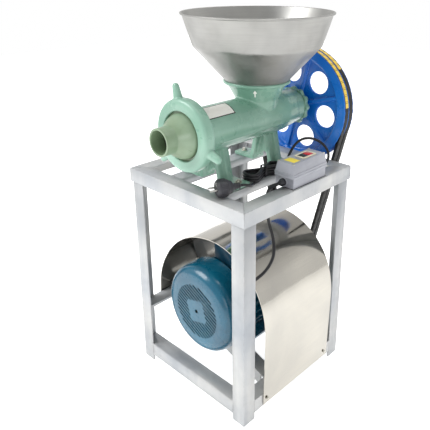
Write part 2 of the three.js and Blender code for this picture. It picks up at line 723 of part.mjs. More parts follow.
// ----------------------------------------------------------------- switch box
function tapered(x0, x1, y0, y1, z0, z1, inset) {
  const geometry = new THREE.BoxGeometry(x1 - x0, y1 - y0, z1 - z0);
  const p = geometry.attributes.position;
  for (let i = 0; i < p.count; i += 1) {
    if (p.getZ(i) > 0) {
      p.setX(i, p.getX(i) - Math.sign(p.getX(i)) * inset);
      p.setY(i, p.getY(i) - Math.sign(p.getY(i)) * inset);
    }
  }
  geometry.translate((x0 + x1) / 2, (y0 + y1) / 2, (z0 + z1) / 2);
  return toSolid(geometry);
}

const BUTTON = { x: 21, y: 17, top: SWITCH.z1 + 2.5, travel: 3 };
const BUTTON_X = (SWITCH.x0 + SWITCH.x1) / 2;

function switchBase() {
  const s = SWITCH;
  const shell = box(s.x0 + 2, s.x1 - 2, s.y0 + 2, s.y1 - 2, s.z0, s.seam - 6)
    .add(box(s.x0, s.x1, s.y0, s.y1, s.seam - 7, s.seam));
  const hollow = box(s.x0 + 5, s.x1 - 5, s.y0 + 5, s.y1 - 5, s.z0 + 3, s.seam + 5);
  const entries = turned([
    [0, s.y0 - 20], [6.5, s.y0 - 20], [6.5, s.y1 + 20], [0, s.y1 + 20],
  ], GLAND.x, GLAND.z, 16);
  return shell.subtract(hollow).subtract(entries);
}

function switchLid() {
  const s = SWITCH;
  const skirt = box(s.x0, s.x1, s.y0, s.y1, s.seam + GAP, s.seam + 6);
  const crown = tapered(s.x0 + 1, s.x1 - 1, s.y0 + 1, s.y1 - 1, s.seam + 5, s.z1, 4);
  const hollow = tapered(
    s.x0 + 5, s.x1 - 5, s.y0 + 5, s.y1 - 5, s.seam - 1, s.z1 - 3, 4,
  );
  let lid = skirt.add(crown).subtract(hollow);
  for (const y of Object.values(BUTTON_Y)) {
    lid = lid.subtract(box(
      BUTTON_X - BUTTON.x / 2 - GAP, BUTTON_X + BUTTON.x / 2 + GAP,
      y - BUTTON.y / 2 - GAP, y + BUTTON.y / 2 + GAP, s.z1 - 10, s.z1 + 10,
    ));
  }
  return lid;
}

function button(y) {
  const { x, top } = BUTTON;
  return box(
    BUTTON_X - x / 2, BUTTON_X + x / 2, y - BUTTON.y / 2, y + BUTTON.y / 2, top - 14, top,
  );
}

// gland with a tapered sleeve, pointing towards +Y, its collar against a wall at y = 0
function gland(cordR, sleeve) {
  return turned([
    [cordR + 0.5, -8], [6.1, -8], [6.1, GAP], [GLAND.r, GAP], [GLAND.r, 9],
    [cordR + 3.2, 11], [cordR + 1.6, sleeve], [cordR + 0.5, sleeve],
  ], 0, 0, 16);
}

function buildSwitch() {
  add('switch_base', switchBase(), GREY_PLASTIC);
  add('switch_lid', switchLid(), GREY_PLASTIC);
  add('start_button', button(BUTTON_Y.start), BLACK_PLASTIC);
  add('stop_button', button(BUTTON_Y.stop), RED_PLASTIC);
  const wallFront = SWITCH.y0 + 2;
  const wallRear = SWITCH.y1 - 2;
  const front = gland(MOTOR_CABLE_R, 16).rotate([0, 0, 180]).translate([GLAND.x, wallFront, GLAND.z]);
  const rear = gland(MAINS_CORD_R, 34).translate([GLAND.x, wallRear, GLAND.z]);
  add('gland_motor_side', front, BLACK_PLASTIC);
  add('gland_mains_side', rear, BLACK_PLASTIC);
}

// -------------------------------------------------------------------- cords
function cord(points, radius, steps, sides) {
  const curve = new THREE.CatmullRomCurve3(
    points.map((p) => new THREE.Vector3(...p)), false, 'centripetal',
  );
  const section = outline(circle(0, 0, radius, sides));
  const geometry = new THREE.ExtrudeGeometry(section, {
    steps, bevelEnabled: false, extrudePath: curve,
  });
  return toSolid(geometry);
}

const MOTOR_CABLE = [
  [172, -37, 614], [172, -48, 614], [170.6, -56.5, 613], [166.6, -64, 610],
  [160.8, -69, 603.8], [156.4, -71, 593], [153.4, -71, 575], [152, -67, 545],
  [154, -62, 510], [170, -64, 472], [184, -78, 436], [186, -104, 410],
  [178, -134, 392], [160, -150, 378], [134, -152, 366], [112, -138, 360], [102, -122, 358],
  [96, -105, 357],
];

const HANK = { x: 91, y0: -79, y1: 55, z0: FRAME_H + GAP, h: 28.5, w: 50 };

const MAINS_CORD = [
  [172, 108, 614], [172, 133, 614], [171.4, 146, 616.5], [169, 157, 625], [163.5, 163, 637.5],
  [154, 163, 650.5], [142, 158, 661.5], [129, 150, 669], [117, 139, 672.5], [107.5, 125, 671.5],
  [102.5, 109, 665.5], [101.5, 93, 656], [103.5, 78, 644.5], [107, 64.5, 634.5],
  [110.5, 54.6, 629], [111.7, 49.6, 627.2],
];

const PLUG = { x: 108, y: -175, z: FRAME_H + GAP + 22, r: 22, turn: -25 };

const PLUG_TAIL = [
  [126.8, -134.2, 622.3], [130.3, -125, 621.4], [131.3, -114, 617.6], [128.3, -102.5, 612.2],
  [122, -91, 607.4], [115.6, -80, 604.5], [112.8, -70.5, 603.9],
];

function hank() {
  const r = HANK.w / 2;
  const points = [];
  for (let i = 0; i <= 12; i += 1) {
    const a = (Math.PI * i) / 12;
    points.push([HANK.x + r * Math.cos(a), HANK.y1 - r + r * Math.sin(a)]);
  }
  for (let i = 0; i <= 12; i += 1) {
    const a = Math.PI + (Math.PI * i) / 12;
    points.push([HANK.x + r * Math.cos(a), HANK.y0 + r + r * Math.sin(a)]);
  }
  return plate(points, HANK.z0, HANK.z0 + HANK.h);
}

// plug built pointing towards -Y about its own middle, then turned in plan
function plug() {
  const body = turned([
    [0, -15], [17, -15], [PLUG.r, -10], [PLUG.r, 9], [17, 15], [14, 22], [8, 25], [6, 44],
    [0, 44],
  ], 0, 0, 24);
  const pins = [-9.5, 9.5].map((dx) => disc(2.4, -33, -12, dx, 0, 10));
  return join([body, ...pins]).rotate([0, 0, PLUG.turn]).translate([PLUG.x, PLUG.y, PLUG.z]);
}

function buildCords() {
  add('motor_cable', cord(MOTOR_CABLE, MOTOR_CABLE_R, 52, 8), RUBBER);
  add('mains_cord', cord(MAINS_CORD, MAINS_CORD_R, 40, 8), RUBBER);
  add('mains_hank', hank(), RUBBER);
  add('mains_tail', cord(PLUG_TAIL, MAINS_CORD_R, 16, 8), RUBBER);
  add('mains_plug', plug(), BLACK_PLASTIC);
}

// ----------------------------------------------------------------- assembly
buildStand();
buildGrinder();
add('hopper', hopper(), HOPPER_STEEL);
buildDrive();
buildMotor();
buildCover();
buildSwitch();
buildCords();

// put the middle of the footprint on the origin, cords left out
const CORDS = ['motor_cable', 'mains_cord', 'mains_hank', 'mains_tail', 'mains_plug'];
const bounds = new THREE.Box3();
for (const mesh of group.children) {
  if (!CORDS.includes(mesh.name)) bounds.expandByObject(mesh, true);
}
const middle = bounds.getCenter(new THREE.Vector3());
for (const mesh of group.children) {
  mesh.geometry.translate(-middle.x, -middle.y, -bounds.min.z);
}

export default group;
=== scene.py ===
"""Belt-driven screw grinder on an angle-iron stand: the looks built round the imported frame.

Sizes are in millimetres in the CAD frame and turned into metres by the mesh helpers.
"""
import json
import math
import random

import bmesh
import bpy
from mathutils import Matrix, Vector
from mathutils.bvhtree import BVHTree


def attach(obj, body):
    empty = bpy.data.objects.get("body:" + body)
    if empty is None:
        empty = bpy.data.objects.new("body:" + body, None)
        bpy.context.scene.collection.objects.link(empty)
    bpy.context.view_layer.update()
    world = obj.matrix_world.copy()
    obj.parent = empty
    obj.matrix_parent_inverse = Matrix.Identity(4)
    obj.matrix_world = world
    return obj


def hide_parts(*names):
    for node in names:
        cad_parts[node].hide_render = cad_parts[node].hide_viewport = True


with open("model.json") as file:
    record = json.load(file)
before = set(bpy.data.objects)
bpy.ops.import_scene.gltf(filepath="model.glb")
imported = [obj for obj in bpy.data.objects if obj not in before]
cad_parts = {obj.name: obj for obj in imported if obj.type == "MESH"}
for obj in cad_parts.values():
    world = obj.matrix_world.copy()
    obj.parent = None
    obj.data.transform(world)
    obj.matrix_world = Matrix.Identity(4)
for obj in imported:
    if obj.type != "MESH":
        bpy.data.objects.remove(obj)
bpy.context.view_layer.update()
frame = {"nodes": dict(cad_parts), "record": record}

MM = 0.001
NODES = frame["nodes"]
BODY_OF = {
    node: body
    for body, members in frame["record"]["behaviour"]["bodies"].items()
    for node in members
}

# Places that several pieces share (x, y and z from the CAD frame's origin).
SHIFT_Y = 8.0                     # the stand's middle, from the origin
HALF_STAND = 207.5
STAND_TOP = 600.0
UNDER_FLANGE = 596.2
LOW_RAIL = 58.0                   # top of the lower rails
CROSS_RAIL_EDGES = (-86, -46, 70, 110)
ANGLE = 40.0
GRIND_X, GRIND_Z = 12.0, 734.0    # grinder axis
MOTOR_X, MOTOR_Z = 8.0, 241.0     # motor axis
MOTOR_TILT = math.atan((187 - 58) / 361)
HOPPER_Y = 55.0
PULLEY_Y = 220.0                  # front face of both pulleys
GROOVES = (230.5, 249.5)          # middles of the two belt grooves
COVER_FRONT, COVER_REAR = -124.0, 155.0


# --------------------------------------------------------------------- camera
CAMERA_AZ, CAMERA_EL = math.radians(43.46), math.radians(19.91)
CAMERA_PLACE = Vector((0.9425, -0.9797, 1.1108))


def make_camera():
    data = bpy.data.cameras.new("camera")
    camera = bpy.data.objects.new("camera", data)
    bpy.context.scene.collection.objects.link(camera)
    back = Vector((
        math.sin(CAMERA_AZ) * math.cos(CAMERA_EL),
        -math.cos(CAMERA_AZ) * math.cos(CAMERA_EL),
        math.sin(CAMERA_EL),
    ))
    camera.location = CAMERA_PLACE
    camera.rotation_mode = "QUATERNION"
    camera.rotation_quaternion = (-back).to_track_quat("-Z", "Y")
    data.sensor_width = 36.0
    data.lens = 45.9
    data.shift_x, data.shift_y = -0.0644, -0.1263
    data.clip_start, data.clip_end = 0.05, 50.0
    bpy.context.scene.camera = camera


# ------------------------------------------------------------------ materials
def linear(colour):
    """An sRGB colour of three numbers from 0 to 255, as linear light."""
    def one(c):
        c /= 255.0
        return c / 12.92 if c <= 0.04045 else ((c + 0.055) / 1.055) ** 2.4
    return (one(colour[0]), one(colour[1]), one(colour[2]), 1.0)


class Look:
    """A node material: a mottled colour, a grained bump and a varying roughness."""

    def __init__(self, name, metal=0.0, coat=0.0, specular=0.5):
        self.material = bpy.data.materials.new(name)
        self.material.use_nodes = True
        self.tree = self.material.node_tree
        self.shader = self.tree.nodes["Principled BSDF"]
        self.shader.inputs["Metallic"].default_value = metal
        self.shader.inputs["Coat Weight"].default_value = coat
        self.shader.inputs["Coat Roughness"].default_value = 0.08
        self.shader.inputs["Specular IOR Level"].default_value = specular
        self.place = self.node("ShaderNodeTexCoord").outputs["Object"]
        self.normal = None

    def node(self, kind, **settings):
        made = self.tree.nodes.new(kind)
        for key, value in settings.items():
            setattr(made, key, value)
        return made

    def link(self, source, target):
        self.tree.links.new(source, target)

    def stretched(self, scale):
        mapping = self.node("ShaderNodeMapping")
        mapping.inputs["Scale"].default_value = scale
        self.link(self.place, mapping.inputs["Vector"])
        return mapping.outputs["Vector"]

    def noise(self, scale, detail=4.0, stretch=None, distortion=0.0):
        made = self.node("ShaderNodeTexNoise")
        made.inputs["Scale"].default_value = scale
        made.inputs["Detail"].default_value = detail
        made.inputs["Distortion"].default_value = distortion
        self.link(self.stretched(stretch) if stretch else self.place, made.inputs["Vector"])
        return made.outputs["Fac"]

    def spread(self, value, low, high, to_low, to_high):
        made = self.node("ShaderNodeMapRange")
        for key, number in zip(("From Min", "From Max", "To Min", "To Max"),
                               (low, high, to_low, to_high)):
            made.inputs[key].default_value = number
        self.link(value, made.inputs["Value"])
        return made.outputs["Result"]

    def mix(self, factor, first, second):
        made = self.node("ShaderNodeMix", data_type="RGBA")
        self.link(factor, made.inputs["Factor"])
        for key, colour in (("A", first), ("B", second)):
            socket = next(s for s in made.inputs if s.name == key and s.type == "RGBA")
            if isinstance(colour, tuple):
                socket.default_value = colour
            else:
                self.link(colour, socket)
        return next(s for s in made.outputs if s.type == "RGBA")

    def colour(self, value):
        self.link(value, self.shader.inputs["Base Color"])

    def rough(self, value):
        self.link(value, self.shader.inputs["Roughness"])

    def bump(self, height, distance, strength=1.0):
        made = self.node("ShaderNodeBump")
        made.inputs["Distance"].default_value = distance
        made.inputs["Strength"].default_value = strength
        self.link(height, made.inputs["Height"])
        if self.normal is not None:
            self.link(self.normal, made.inputs["Normal"])
        self.normal = made.outputs["Normal"]
        self.link(self.normal, self.shader.inputs["Normal"])

    def edges(self, radius, low, high):
        """1 on edges sharper than their rounded normal, 0 on open faces."""
        soft = self.node("ShaderNodeBevel", samples=4)
        soft.inputs["Radius"].default_value = radius
        true = self.node("ShaderNodeNewGeometry")
        dot = self.node("ShaderNodeVectorMath", operation="DOT_PRODUCT")
        self.link(soft.outputs["Normal"], dot.inputs[0])
        self.link(true.outputs["Normal"], dot.inputs[1])
        return self.spread(dot.outputs["Value"], high, low, 0.0, 1.0)

    def times(self, a, b):
        made = self.node("ShaderNodeMath", operation="MULTIPLY", use_clamp=True)
        self.link(a, made.inputs[0])
        self.link(b, made.inputs[1])
        return made.outputs["Value"]


def enamel(name, light, dark, worn, rough=0.32, coat=0.25, cast=0.0, wear=0.5):
    """Sprayed enamel over metal. cast is the depth in metres of the sand-cast skin under it."""
    look = Look(name, coat=coat)
    patches = look.noise(9.0, 5.0)
    base = look.mix(look.spread(patches, 0.35, 0.65, 0.0, 1.0), linear(dark), linear(light))
    chips = look.times(
        look.edges(0.0014, 0.93, 0.995),
        look.spread(look.noise(120.0, 6.0), 0.5, 0.62, 0.0, wear),
    )
    dust = look.spread(look.noise(45.0, 8.0), 0.60, 0.75, 0.0, 0.25)
    look.colour(look.mix(chips, look.mix(dust, base, linear(dark)), linear(worn)))
    look.rough(look.spread(look.noise(30.0, 6.0), 0.3, 0.7, rough - 0.08, rough + 0.12))
    if cast:
        look.bump(look.noise(260.0, 8.0), cast, 0.7)
        look.bump(look.noise(45.0, 3.0), cast * 3.0, 0.5)
    look.bump(look.noise(900.0, 2.0), 0.00006, 0.5)
    return look.material


def silver_paint(name):
    look = Look(name, metal=0.35, coat=0.0)
    patches = look.noise(5.0, 6.0)
    base = look.mix(
        look.spread(patches, 0.35, 0.65, 0.0, 1.0),
        linear((158, 162, 167)), linear((190, 190, 188)),
    )
    runs = look.noise(18.0, 6.0, stretch=(1.0, 1.0, 0.12))
    base = look.mix(look.spread(runs, 0.52, 0.72, 0.0, 0.5), base, linear((146, 150, 156)))
    scuffs = look.times(
        look.edges(0.0012, 0.94, 0.995), look.spread(look.noise(90.0, 7.0), 0.48, 0.62, 0.0, 0.8),
    )
    look.colour(look.mix(scuffs, base, linear((104, 100, 92))))
    look.rough(look.spread(look.noise(60.0, 8.0), 0.3, 0.7, 0.34, 0.52))
    look.bump(look.noise(600.0, 4.0), 0.00012, 0.6)
    look.bump(look.noise(38.0, 4.0), 0.0004, 0.35)
    return look.material


def sheet_steel(name, light, dark, rough, stretch, wave=0.0, rings=0.0):
    """Rolled or spun steel: fine grain along one way, faint stains, slow waves in the surface."""
    look = Look(name, metal=1.0)
    stains = look.noise(4.0, 7.0, distortion=0.6)
    base = look.mix(look.spread(stains, 0.35, 0.7, 0.0, 1.0), linear(light), linear(dark))
    grain = look.noise(420.0, 5.0, stretch=stretch)
    look.colour(look.mix(look.spread(grain, 0.3, 0.7, 0.0, 0.35), base, linear(dark)))
    smears = look.noise(14.0, 8.0)
    look.rough(look.spread(smears, 0.3, 0.75, rough * 0.75, rough * 1.5))
    look.bump(grain, 0.00005, 0.5)
    if wave:
        look.bump(look.noise(7.0, 2.0), wave, 1.0)
    if rings:
        look.bump(look.noise(90.0, 3.0, stretch=(0.02, 0.02, 1.0)), rings, 0.8)
    return look.material


def machined(name, light, dark, rough=0.28):
    look = Look(name, metal=1.0)
    patches = look.noise(20.0, 6.0)
    look.colour(look.mix(look.spread(patches, 0.35, 0.7, 0.0, 1.0), linear(light), linear(dark)))
    grain = look.noise(500.0, 4.0, stretch=(1.0, 0.08, 1.0))
    look.rough(look.spread(grain, 0.3, 0.7, rough - 0.06, rough + 0.16))
    look.bump(grain, 0.00006, 0.5)
    return look.material


def rubber(name, light, dark, rough=0.55, weave=0.0):
    look = Look(name, specular=0.4)
    patches = look.noise(30.0, 7.0)
    look.colour(look.mix(look.spread(patches, 0.35, 0.7, 0.0, 1.0), linear(dark), linear(light)))
    look.rough(look.spread(look.noise(80.0, 6.0), 0.3, 0.7, rough - 0.08, rough + 0.15))
    look.bump(look.noise(700.0, 3.0), 0.00008, 0.6)
    if weave:
        cloth = look.node("ShaderNodeTexBrick")
        cloth.inputs["Scale"].default_value = 450.0
        cloth.inputs["Mortar Size"].default_value = 0.06
        look.link(look.place, cloth.inputs["Vector"])
        look.bump(cloth.outputs["Fac"], weave, 0.5)
    return look.material


def plastic(name, light, dark, rough=0.4, texture=0.00008, coat=0.0):
    look = Look(name, coat=coat)
    patches = look.noise(14.0, 6.0)
    base = look.mix(look.spread(patches, 0.35, 0.7, 0.0, 1.0), linear(light), linear(dark))
    rub = look.times(
        look.edges(0.0012, 0.94, 0.995), look.spread(look.noise(70.0, 6.0), 0.45, 0.65, 0.0, 0.4),
    )
    pale = tuple(min(255, c + 45) for c in light)
    look.colour(look.mix(rub, base, linear(pale)))
    look.rough(look.spread(look.noise(50.0, 7.0), 0.3, 0.7, rough - 0.08, rough + 0.12))
    look.bump(look.noise(1100.0, 3.0), texture, 0.7)
    return look.material


def foil(name, ground, ink):
    """A blank printed label: a plain ground with faint wear."""
    look = Look(name, coat=0.3)
    wear = look.noise(60.0, 8.0)
    look.colour(look.mix(look.spread(wear, 0.55, 0.8, 0.0, 0.4), linear(ground), linear(ink)))
    look.rough(look.spread(look.noise(25.0, 5.0), 0.3, 0.7, 0.25, 0.4))
    look.bump(look.noise(300.0, 3.0), 0.00003, 0.5)
    return look.material


def make_looks():
    return {
        "green_casting": enamel(
            "green enamel", (134, 172, 154), (108, 150, 131), (172, 198, 184), 0.3, 0.3, 0.00022),
        "olive_casting": enamel(
            "olive enamel", (134, 156, 130), (106, 126, 94), (172, 184, 164), 0.34, 0.25, 0.0003),
        "stand_steel": silver_paint("silver paint"),
        "cover_steel": sheet_steel(
            "polished sheet", (196, 192, 182), (178, 175, 168), rough=0.11,
            stretch=(1.0, 0.02, 1.0), wave=0.0022),
        "hopper_steel": sheet_steel(
            "spun steel", (168, 167, 163), (146, 146, 144), rough=0.42,
            stretch=(0.03, 0.03, 1.0), rings=0.00012),
        "bare_steel": machined("machined steel", (176, 175, 172), (138, 137, 134)),
        "zinc_steel": machined("zinc plate", (200, 198, 190), (165, 163, 150), 0.3),
        "pulley_blue": enamel(
            "blue enamel", (0, 112, 206), (0, 90, 182), (80, 150, 215), 0.3, 0.3, 0.00025, 0.35),
        "motor_teal": enamel(
            "teal enamel", (14, 96, 122), (6, 74, 98), (80, 140, 160), 0.26, 0.25, 0.0001, 0.4),
        "motor_dark": enamel(
            "dark teal enamel", (14, 56, 76), (8, 40, 58), (56, 100, 120), 0.3, 0.4, 0.0001, 0.4),
        "fan_plastic": plastic("black nylon", (26, 26, 28), (14, 14, 16)),
        "belt_rubber": rubber("belt", (44, 43, 42), (24, 24, 24), 0.62, 0.0001),
        "cord_rubber": rubber("sheath", (36, 36, 39), (20, 20, 22), 0.42),
        "switch_grey": plastic("grey case", (160, 162, 170), (146, 148, 156), 0.38, 0.0001, 0.1),
        "plate_cream": plastic("cream frame", (222, 214, 188), (206, 198, 172), 0.4),
        "button_black": plastic("black button", (34, 34, 38), (20, 20, 24), 0.3, 0.00004, 0.3),
        "button_red": plastic("red button", (206, 52, 58), (180, 34, 42), 0.28, 0.00004, 0.4),
        "plug_black": plastic("black moulding", (52, 52, 58), (32, 32, 36), 0.45, 0.00012),
        "pin_nickel": machined("nickel pins", (196, 195, 190), (160, 158, 152), 0.24),
        "label_white": foil("white foil", (236, 235, 228), (200, 200, 196)),
        "label_yellow": foil("yellow foil", (238, 214, 60), (214, 186, 48)),
        "belt_mark": foil("belt stripe", (224, 190, 60), (120, 104, 48)),
        "gasket_black": rubber("gasket", (26, 26, 26), (14, 14, 14), 0.6),
    }


# --------------------------------------------------------------- mesh helpers
def to_object(name, mesh, sharp=35.0):
    """Links a mesh as an object, smooth but for the edges sharper than sharp degrees."""
    for polygon in mesh.polygons:
        polygon.use_smooth = True
    mesh.set_sharp_from_angle(angle=math.radians(sharp))
    piece = bpy.data.objects.new(name, mesh)
    bpy.context.scene.collection.objects.link(piece)
    return piece


def from_bmesh(name, bm, sharp=35.0):
    mesh = bpy.data.meshes.new(name)
    bmesh.ops.recalc_face_normals(bm, faces=bm.faces)
    bm.to_mesh(mesh)
    bm.free()
    return to_object(name, mesh, sharp)


def rounded(points, radius, closed=True, steps=4):
    """The outline again with each corner cut by a curve that starts radius from it."""
    made = []
    count = len(points)
    for i, point in enumerate(points):
        if not closed and i in (0, count - 1):
            made.append(tuple(point[:2]))
            continue
        here = Vector(point[:2])
        before, after = Vector(points[i - 1][:2]), Vector(points[(i + 1) % count][:2])
        cut = point[2] if len(point) > 2 else radius
        a = here + (before - here).normalized() * min(cut, 0.45 * (before - here).length)
        b = here + (after - here).normalized() * min(cut, 0.45 * (after - here).length)
        for k in range(steps + 1):
            t = k / steps
            made.append(tuple((1 - t) ** 2 * a + 2 * t * (1 - t) * here + t ** 2 * b))
    return made


def lathe(name, profile, centre, axis="Y", segments=128, sharp=35.0):
    """A closed solid from a profile of (radius, place along the axis), in millimetres."""
    bm = bmesh.new()
    rings = []
    on_axis = profile[0][0] < 1e-6 and profile[-1][0] < 1e-6
    for radius, along in profile:
        if radius < 1e-6:
            corners = [(0.0, 0.0)]
        else:
            corners = [
                (radius * math.cos(2 * math.pi * i / segments),
                 radius * math.sin(2 * math.pi * i / segments))
                for i in range(segments)
            ]
        if axis == "Y":
            places = [(centre[0] + a, along, centre[1] + b) for a, b in corners]
        else:
            places = [(centre[0] + a, centre[1] + b, along) for a, b in corners]
        rings.append([bm.verts.new(Vector(p) * MM) for p in places])
    last = len(rings) - 1 if on_axis else len(rings)
    for k in range(last):
        first, second = rings[k], rings[(k + 1) % len(rings)]
        for i in range(segments):
            j = (i + 1) % segments
            face = [first[i % len(first)], first[j % len(first)],
                    second[j % len(second)], second[i % len(second)]]
            face = list(dict.fromkeys(face))
            if len(face) > 2:
                bm.faces.new(face)
    return from_bmesh(name, bm, sharp)


def outline_solid(name, outline, y0, y1, holes=(), bevel=0.0, sharp=35.0):
    """An outline in x and z, with holes, from y0 back to y1, in millimetres."""
    curve = bpy.data.curves.new(name, "CURVE")
    curve.dimensions = "2D"
    curve.fill_mode = "BOTH"
    for ring in [outline, *holes]:
        spline = curve.splines.new("POLY")
        spline.points.add(len(ring) - 1)
        for target, (x, z) in zip(spline.points, ring):
            target.co = (x * MM, z * MM, 0.0, 1.0)
        spline.use_cyclic_u = True
    curve.extrude = (y1 - y0) / 2 * MM - bevel * MM
    curve.bevel_depth = bevel * MM
    curve.bevel_resolution = 2
    curve.offset = -bevel * MM
    bare = bpy.data.objects.new(name, curve)
    mesh = bpy.data.meshes.new_from_object(bare)
    bpy.data.objects.remove(bare)
    bpy.data.curves.remove(curve)
    turn = Matrix.Rotation(math.radians(90), 4, "X")
    mesh.transform(Matrix.Translation((0, (y0 + y1) / 2 * MM, 0)) @ turn)
    bm = bmesh.new()
    bm.from_mesh(mesh)
    bmesh.ops.remove_doubles(bm, verts=bm.verts, dist=1e-6)
    bm.to_mesh(mesh)
    bm.free()
    return to_object(name, mesh, sharp)


def block(name, low, high, bevel=0.6, inset=0.0, segments=3):
    """A box in millimetres with rounded edges. inset draws its top in on all sides."""
    bm = bmesh.new()
    made = bmesh.ops.create_cube(bm, size=1.0)
    for v in made["verts"]:
        top = v.co.z > 0
        for k in range(3):
            side = v.co[k] + 0.5
            v.co[k] = (low[k] + side * (high[k] - low[k])) * MM
        if top:
            for k in range(2):
                middle = (low[k] + high[k]) / 2 * MM
                v.co[k] -= math.copysign(inset * MM, v.co[k] - middle)
    bmesh.ops.bevel(bm, geom=bm.edges[:], offset=bevel * MM, segments=segments,
                    affect="EDGES", profile=0.5)
    return from_bmesh(name, bm)


def with_modifiers(piece, sharp=35.0):
    """Applies a piece's modifiers to its mesh."""
    graph = bpy.context.evaluated_depsgraph_get()
    mesh = bpy.data.meshes.new_from_object(piece.evaluated_get(graph))
    piece.modifiers.clear()
    piece.data = mesh
    for polygon in mesh.polygons:
        polygon.use_smooth = True
    mesh.set_sharp_from_angle(angle=math.radians(sharp))
    return piece


def copy_of(node, name):
    mesh = NODES[node].data.copy()
    mesh.materials.clear()
    bm = bmesh.new()
    bm.from_mesh(mesh)
    bmesh.ops.remove_doubles(bm, verts=bm.verts, dist=1e-6)
    bmesh.ops.dissolve_limit(bm, angle_limit=math.radians(0.5), verts=bm.verts, edges=bm.edges)
    bm.to_mesh(mesh)
    bm.free()
    piece = bpy.data.objects.new(name, mesh)
    bpy.context.scene.collection.objects.link(piece)
    return piece


def eased(node, name, bevel=0.6, angle=30.0, segments=2):
    """The CAD node's own shape with its sharp edges rounded."""
    piece = copy_of(node, name)
    rounder = piece.modifiers.new("edges", "BEVEL")
    rounder.width = bevel * MM
    rounder.segments = segments
    rounder.limit_method = "ANGLE"
    rounder.angle_limit = math.radians(angle)
    rounder.harden_normals = True
    return with_modifiers(piece)


def cast(piece, voxel=2.0, passes=6, factor=0.5):
    """Joins a piece's overlapping solids into one skin with a casting's soft corners."""
    remesh = piece.modifiers.new("skin", "REMESH")
    remesh.mode = "VOXEL"
    remesh.voxel_size = voxel * MM
    smooth = piece.modifiers.new("soft", "SMOOTH")
    smooth.factor = factor
    smooth.iterations = passes
    return with_modifiers(piece, 80.0)


def joined(name, pieces):
    bm = bmesh.new()
    for piece in pieces:
        piece.data.transform(piece.matrix_world)
        bm.from_mesh(piece.data)
        bpy.data.objects.remove(piece)
    return from_bmesh(name, bm)


def tube(name, path, radius, resolution=5):
    """A round cord through points in metres, as a curve."""
    curve = bpy.data.curves.new(name, "CURVE")
    curve.dimensions = "3D"
    curve.bevel_depth = radius
    curve.bevel_resolution = resolution
    curve.use_fill_caps = True
    spline = curve.splines.new("POLY")
    spline.points.add(len(path) - 1)
    for target, place in zip(spline.points, path):
        target.co = (*place, 1.0)
    spline.use_smooth = True
    piece = bpy.data.objects.new(name, curve)
    bpy.context.scene.collection.objects.link(piece)
    return piece


def smooth_path(points, per=10):
    """A centripetal Catmull-Rom curve through the points, per steps to each stretch."""
    places = [Vector(p) for p in points]
    places = [2 * places[0] - places[1], *places, 2 * places[-1] - places[-2]]
    made = []
    for k in range(1, len(places) - 2):
        p0, p1, p2, p3 = places[k - 1:k + 3]
        t1 = math.sqrt((p1 - p0).length)
        t2 = t1 + math.sqrt((p2 - p1).length)
        t3 = t2 + math.sqrt((p3 - p2).length)
        for i in range(per):
            t = t1 + (t2 - t1) * i / per
            a1 = p0 * ((t1 - t) / t1) + p1 * (t / t1)
            a2 = p1 * ((t2 - t) / (t2 - t1)) + p2 * ((t - t1) / (t2 - t1))
            a3 = p2 * ((t3 - t) / (t3 - t2)) + p3 * ((t - t2) / (t3 - t2))
            b1 = a1 * ((t2 - t) / t2) + a2 * (t / t2)
            b2 = a2 * ((t3 - t) / (t3 - t1)) + a3 * ((t - t1) / (t3 - t1))
            made.append(b1 * ((t2 - t) / (t2 - t1)) + b2 * ((t - t1) / (t2 - t1)))
    made.append(places[-2])
    return made


def wear(piece, slot, body="stand", nodes=()):
    """Gives a piece its finish and body, and hides the CAD nodes it stands for."""
    piece.data.materials.clear()
    piece.data.materials.append(LOOKS[slot])
    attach(piece, body)
    if nodes:
        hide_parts(*nodes)
    return piece


def stand_for(piece, node, slot):
    return wear(piece, slot, BODY_OF[node], [node])


def cut_away(piece, cutter):
    """Takes the cutter's solid out of the piece."""
    cut = piece.modifiers.new("cut", "BOOLEAN")
    cut.operation = "DIFFERENCE"
    cut.solver = "EXACT"
    cut.object = cutter
    with_modifiers(piece)
    bpy.data.objects.remove(cutter)
    return piece


def placed(piece, turn, place):
    """Turns a piece built round its own middle in plan, then moves it, in degrees and mm."""
    spin = Matrix.Rotation(math.radians(turn), 4, "Z")
    piece.data.transform(Matrix.Translation(Vector(place) * MM) @ spin)
    return piece


def tilted(piece):
    """From the motor's own axes, with the motor axis at zero, to its place on the slope."""
    spin = Matrix.Rotation(MOTOR_TILT, 4, "Y")
    middle = Vector((MOTOR_X, 0.0, MOTOR_Z)) * MM
    piece.data.transform(Matrix.Translation(middle) @ spin)
    return piece


def bead(name, start, end, radius, seed):
    """A rippled weld bead along a line, in millimetres."""
    rng = random.Random(seed)
    start, end = Vector(start), Vector(end)
    along = (end - start).normalized()
    side = along.orthogonal().normalized()
    other = along.cross(side)
    count = max(8, int((end - start).length / 0.8))
    bm = bmesh.new()
    rings = []
    for i in range(count + 1):
        t = i / count
        middle = start.lerp(end, t)
        swell = radius * (0.86 + 0.14 * abs(math.sin(i * 0.9))) * rng.uniform(0.92, 1.05)
        swell *= min(1.0, 0.35 + 4.0 * min(t, 1 - t))
        rings.append([
            bm.verts.new((middle + swell * (math.cos(a) * side + math.sin(a) * other)) * MM)
            for a in (2 * math.pi * k / 10 for k in range(10))
        ])
    for first, second in zip(rings, rings[1:]):
        for k in range(10):
            bm.faces.new([first[k], first[(k + 1) % 10], second[(k + 1) % 10], second[k]])
    bm.faces.new(rings[0])
    bm.faces.new(rings[-1])
    return from_bmesh(name, bm, 60.0)


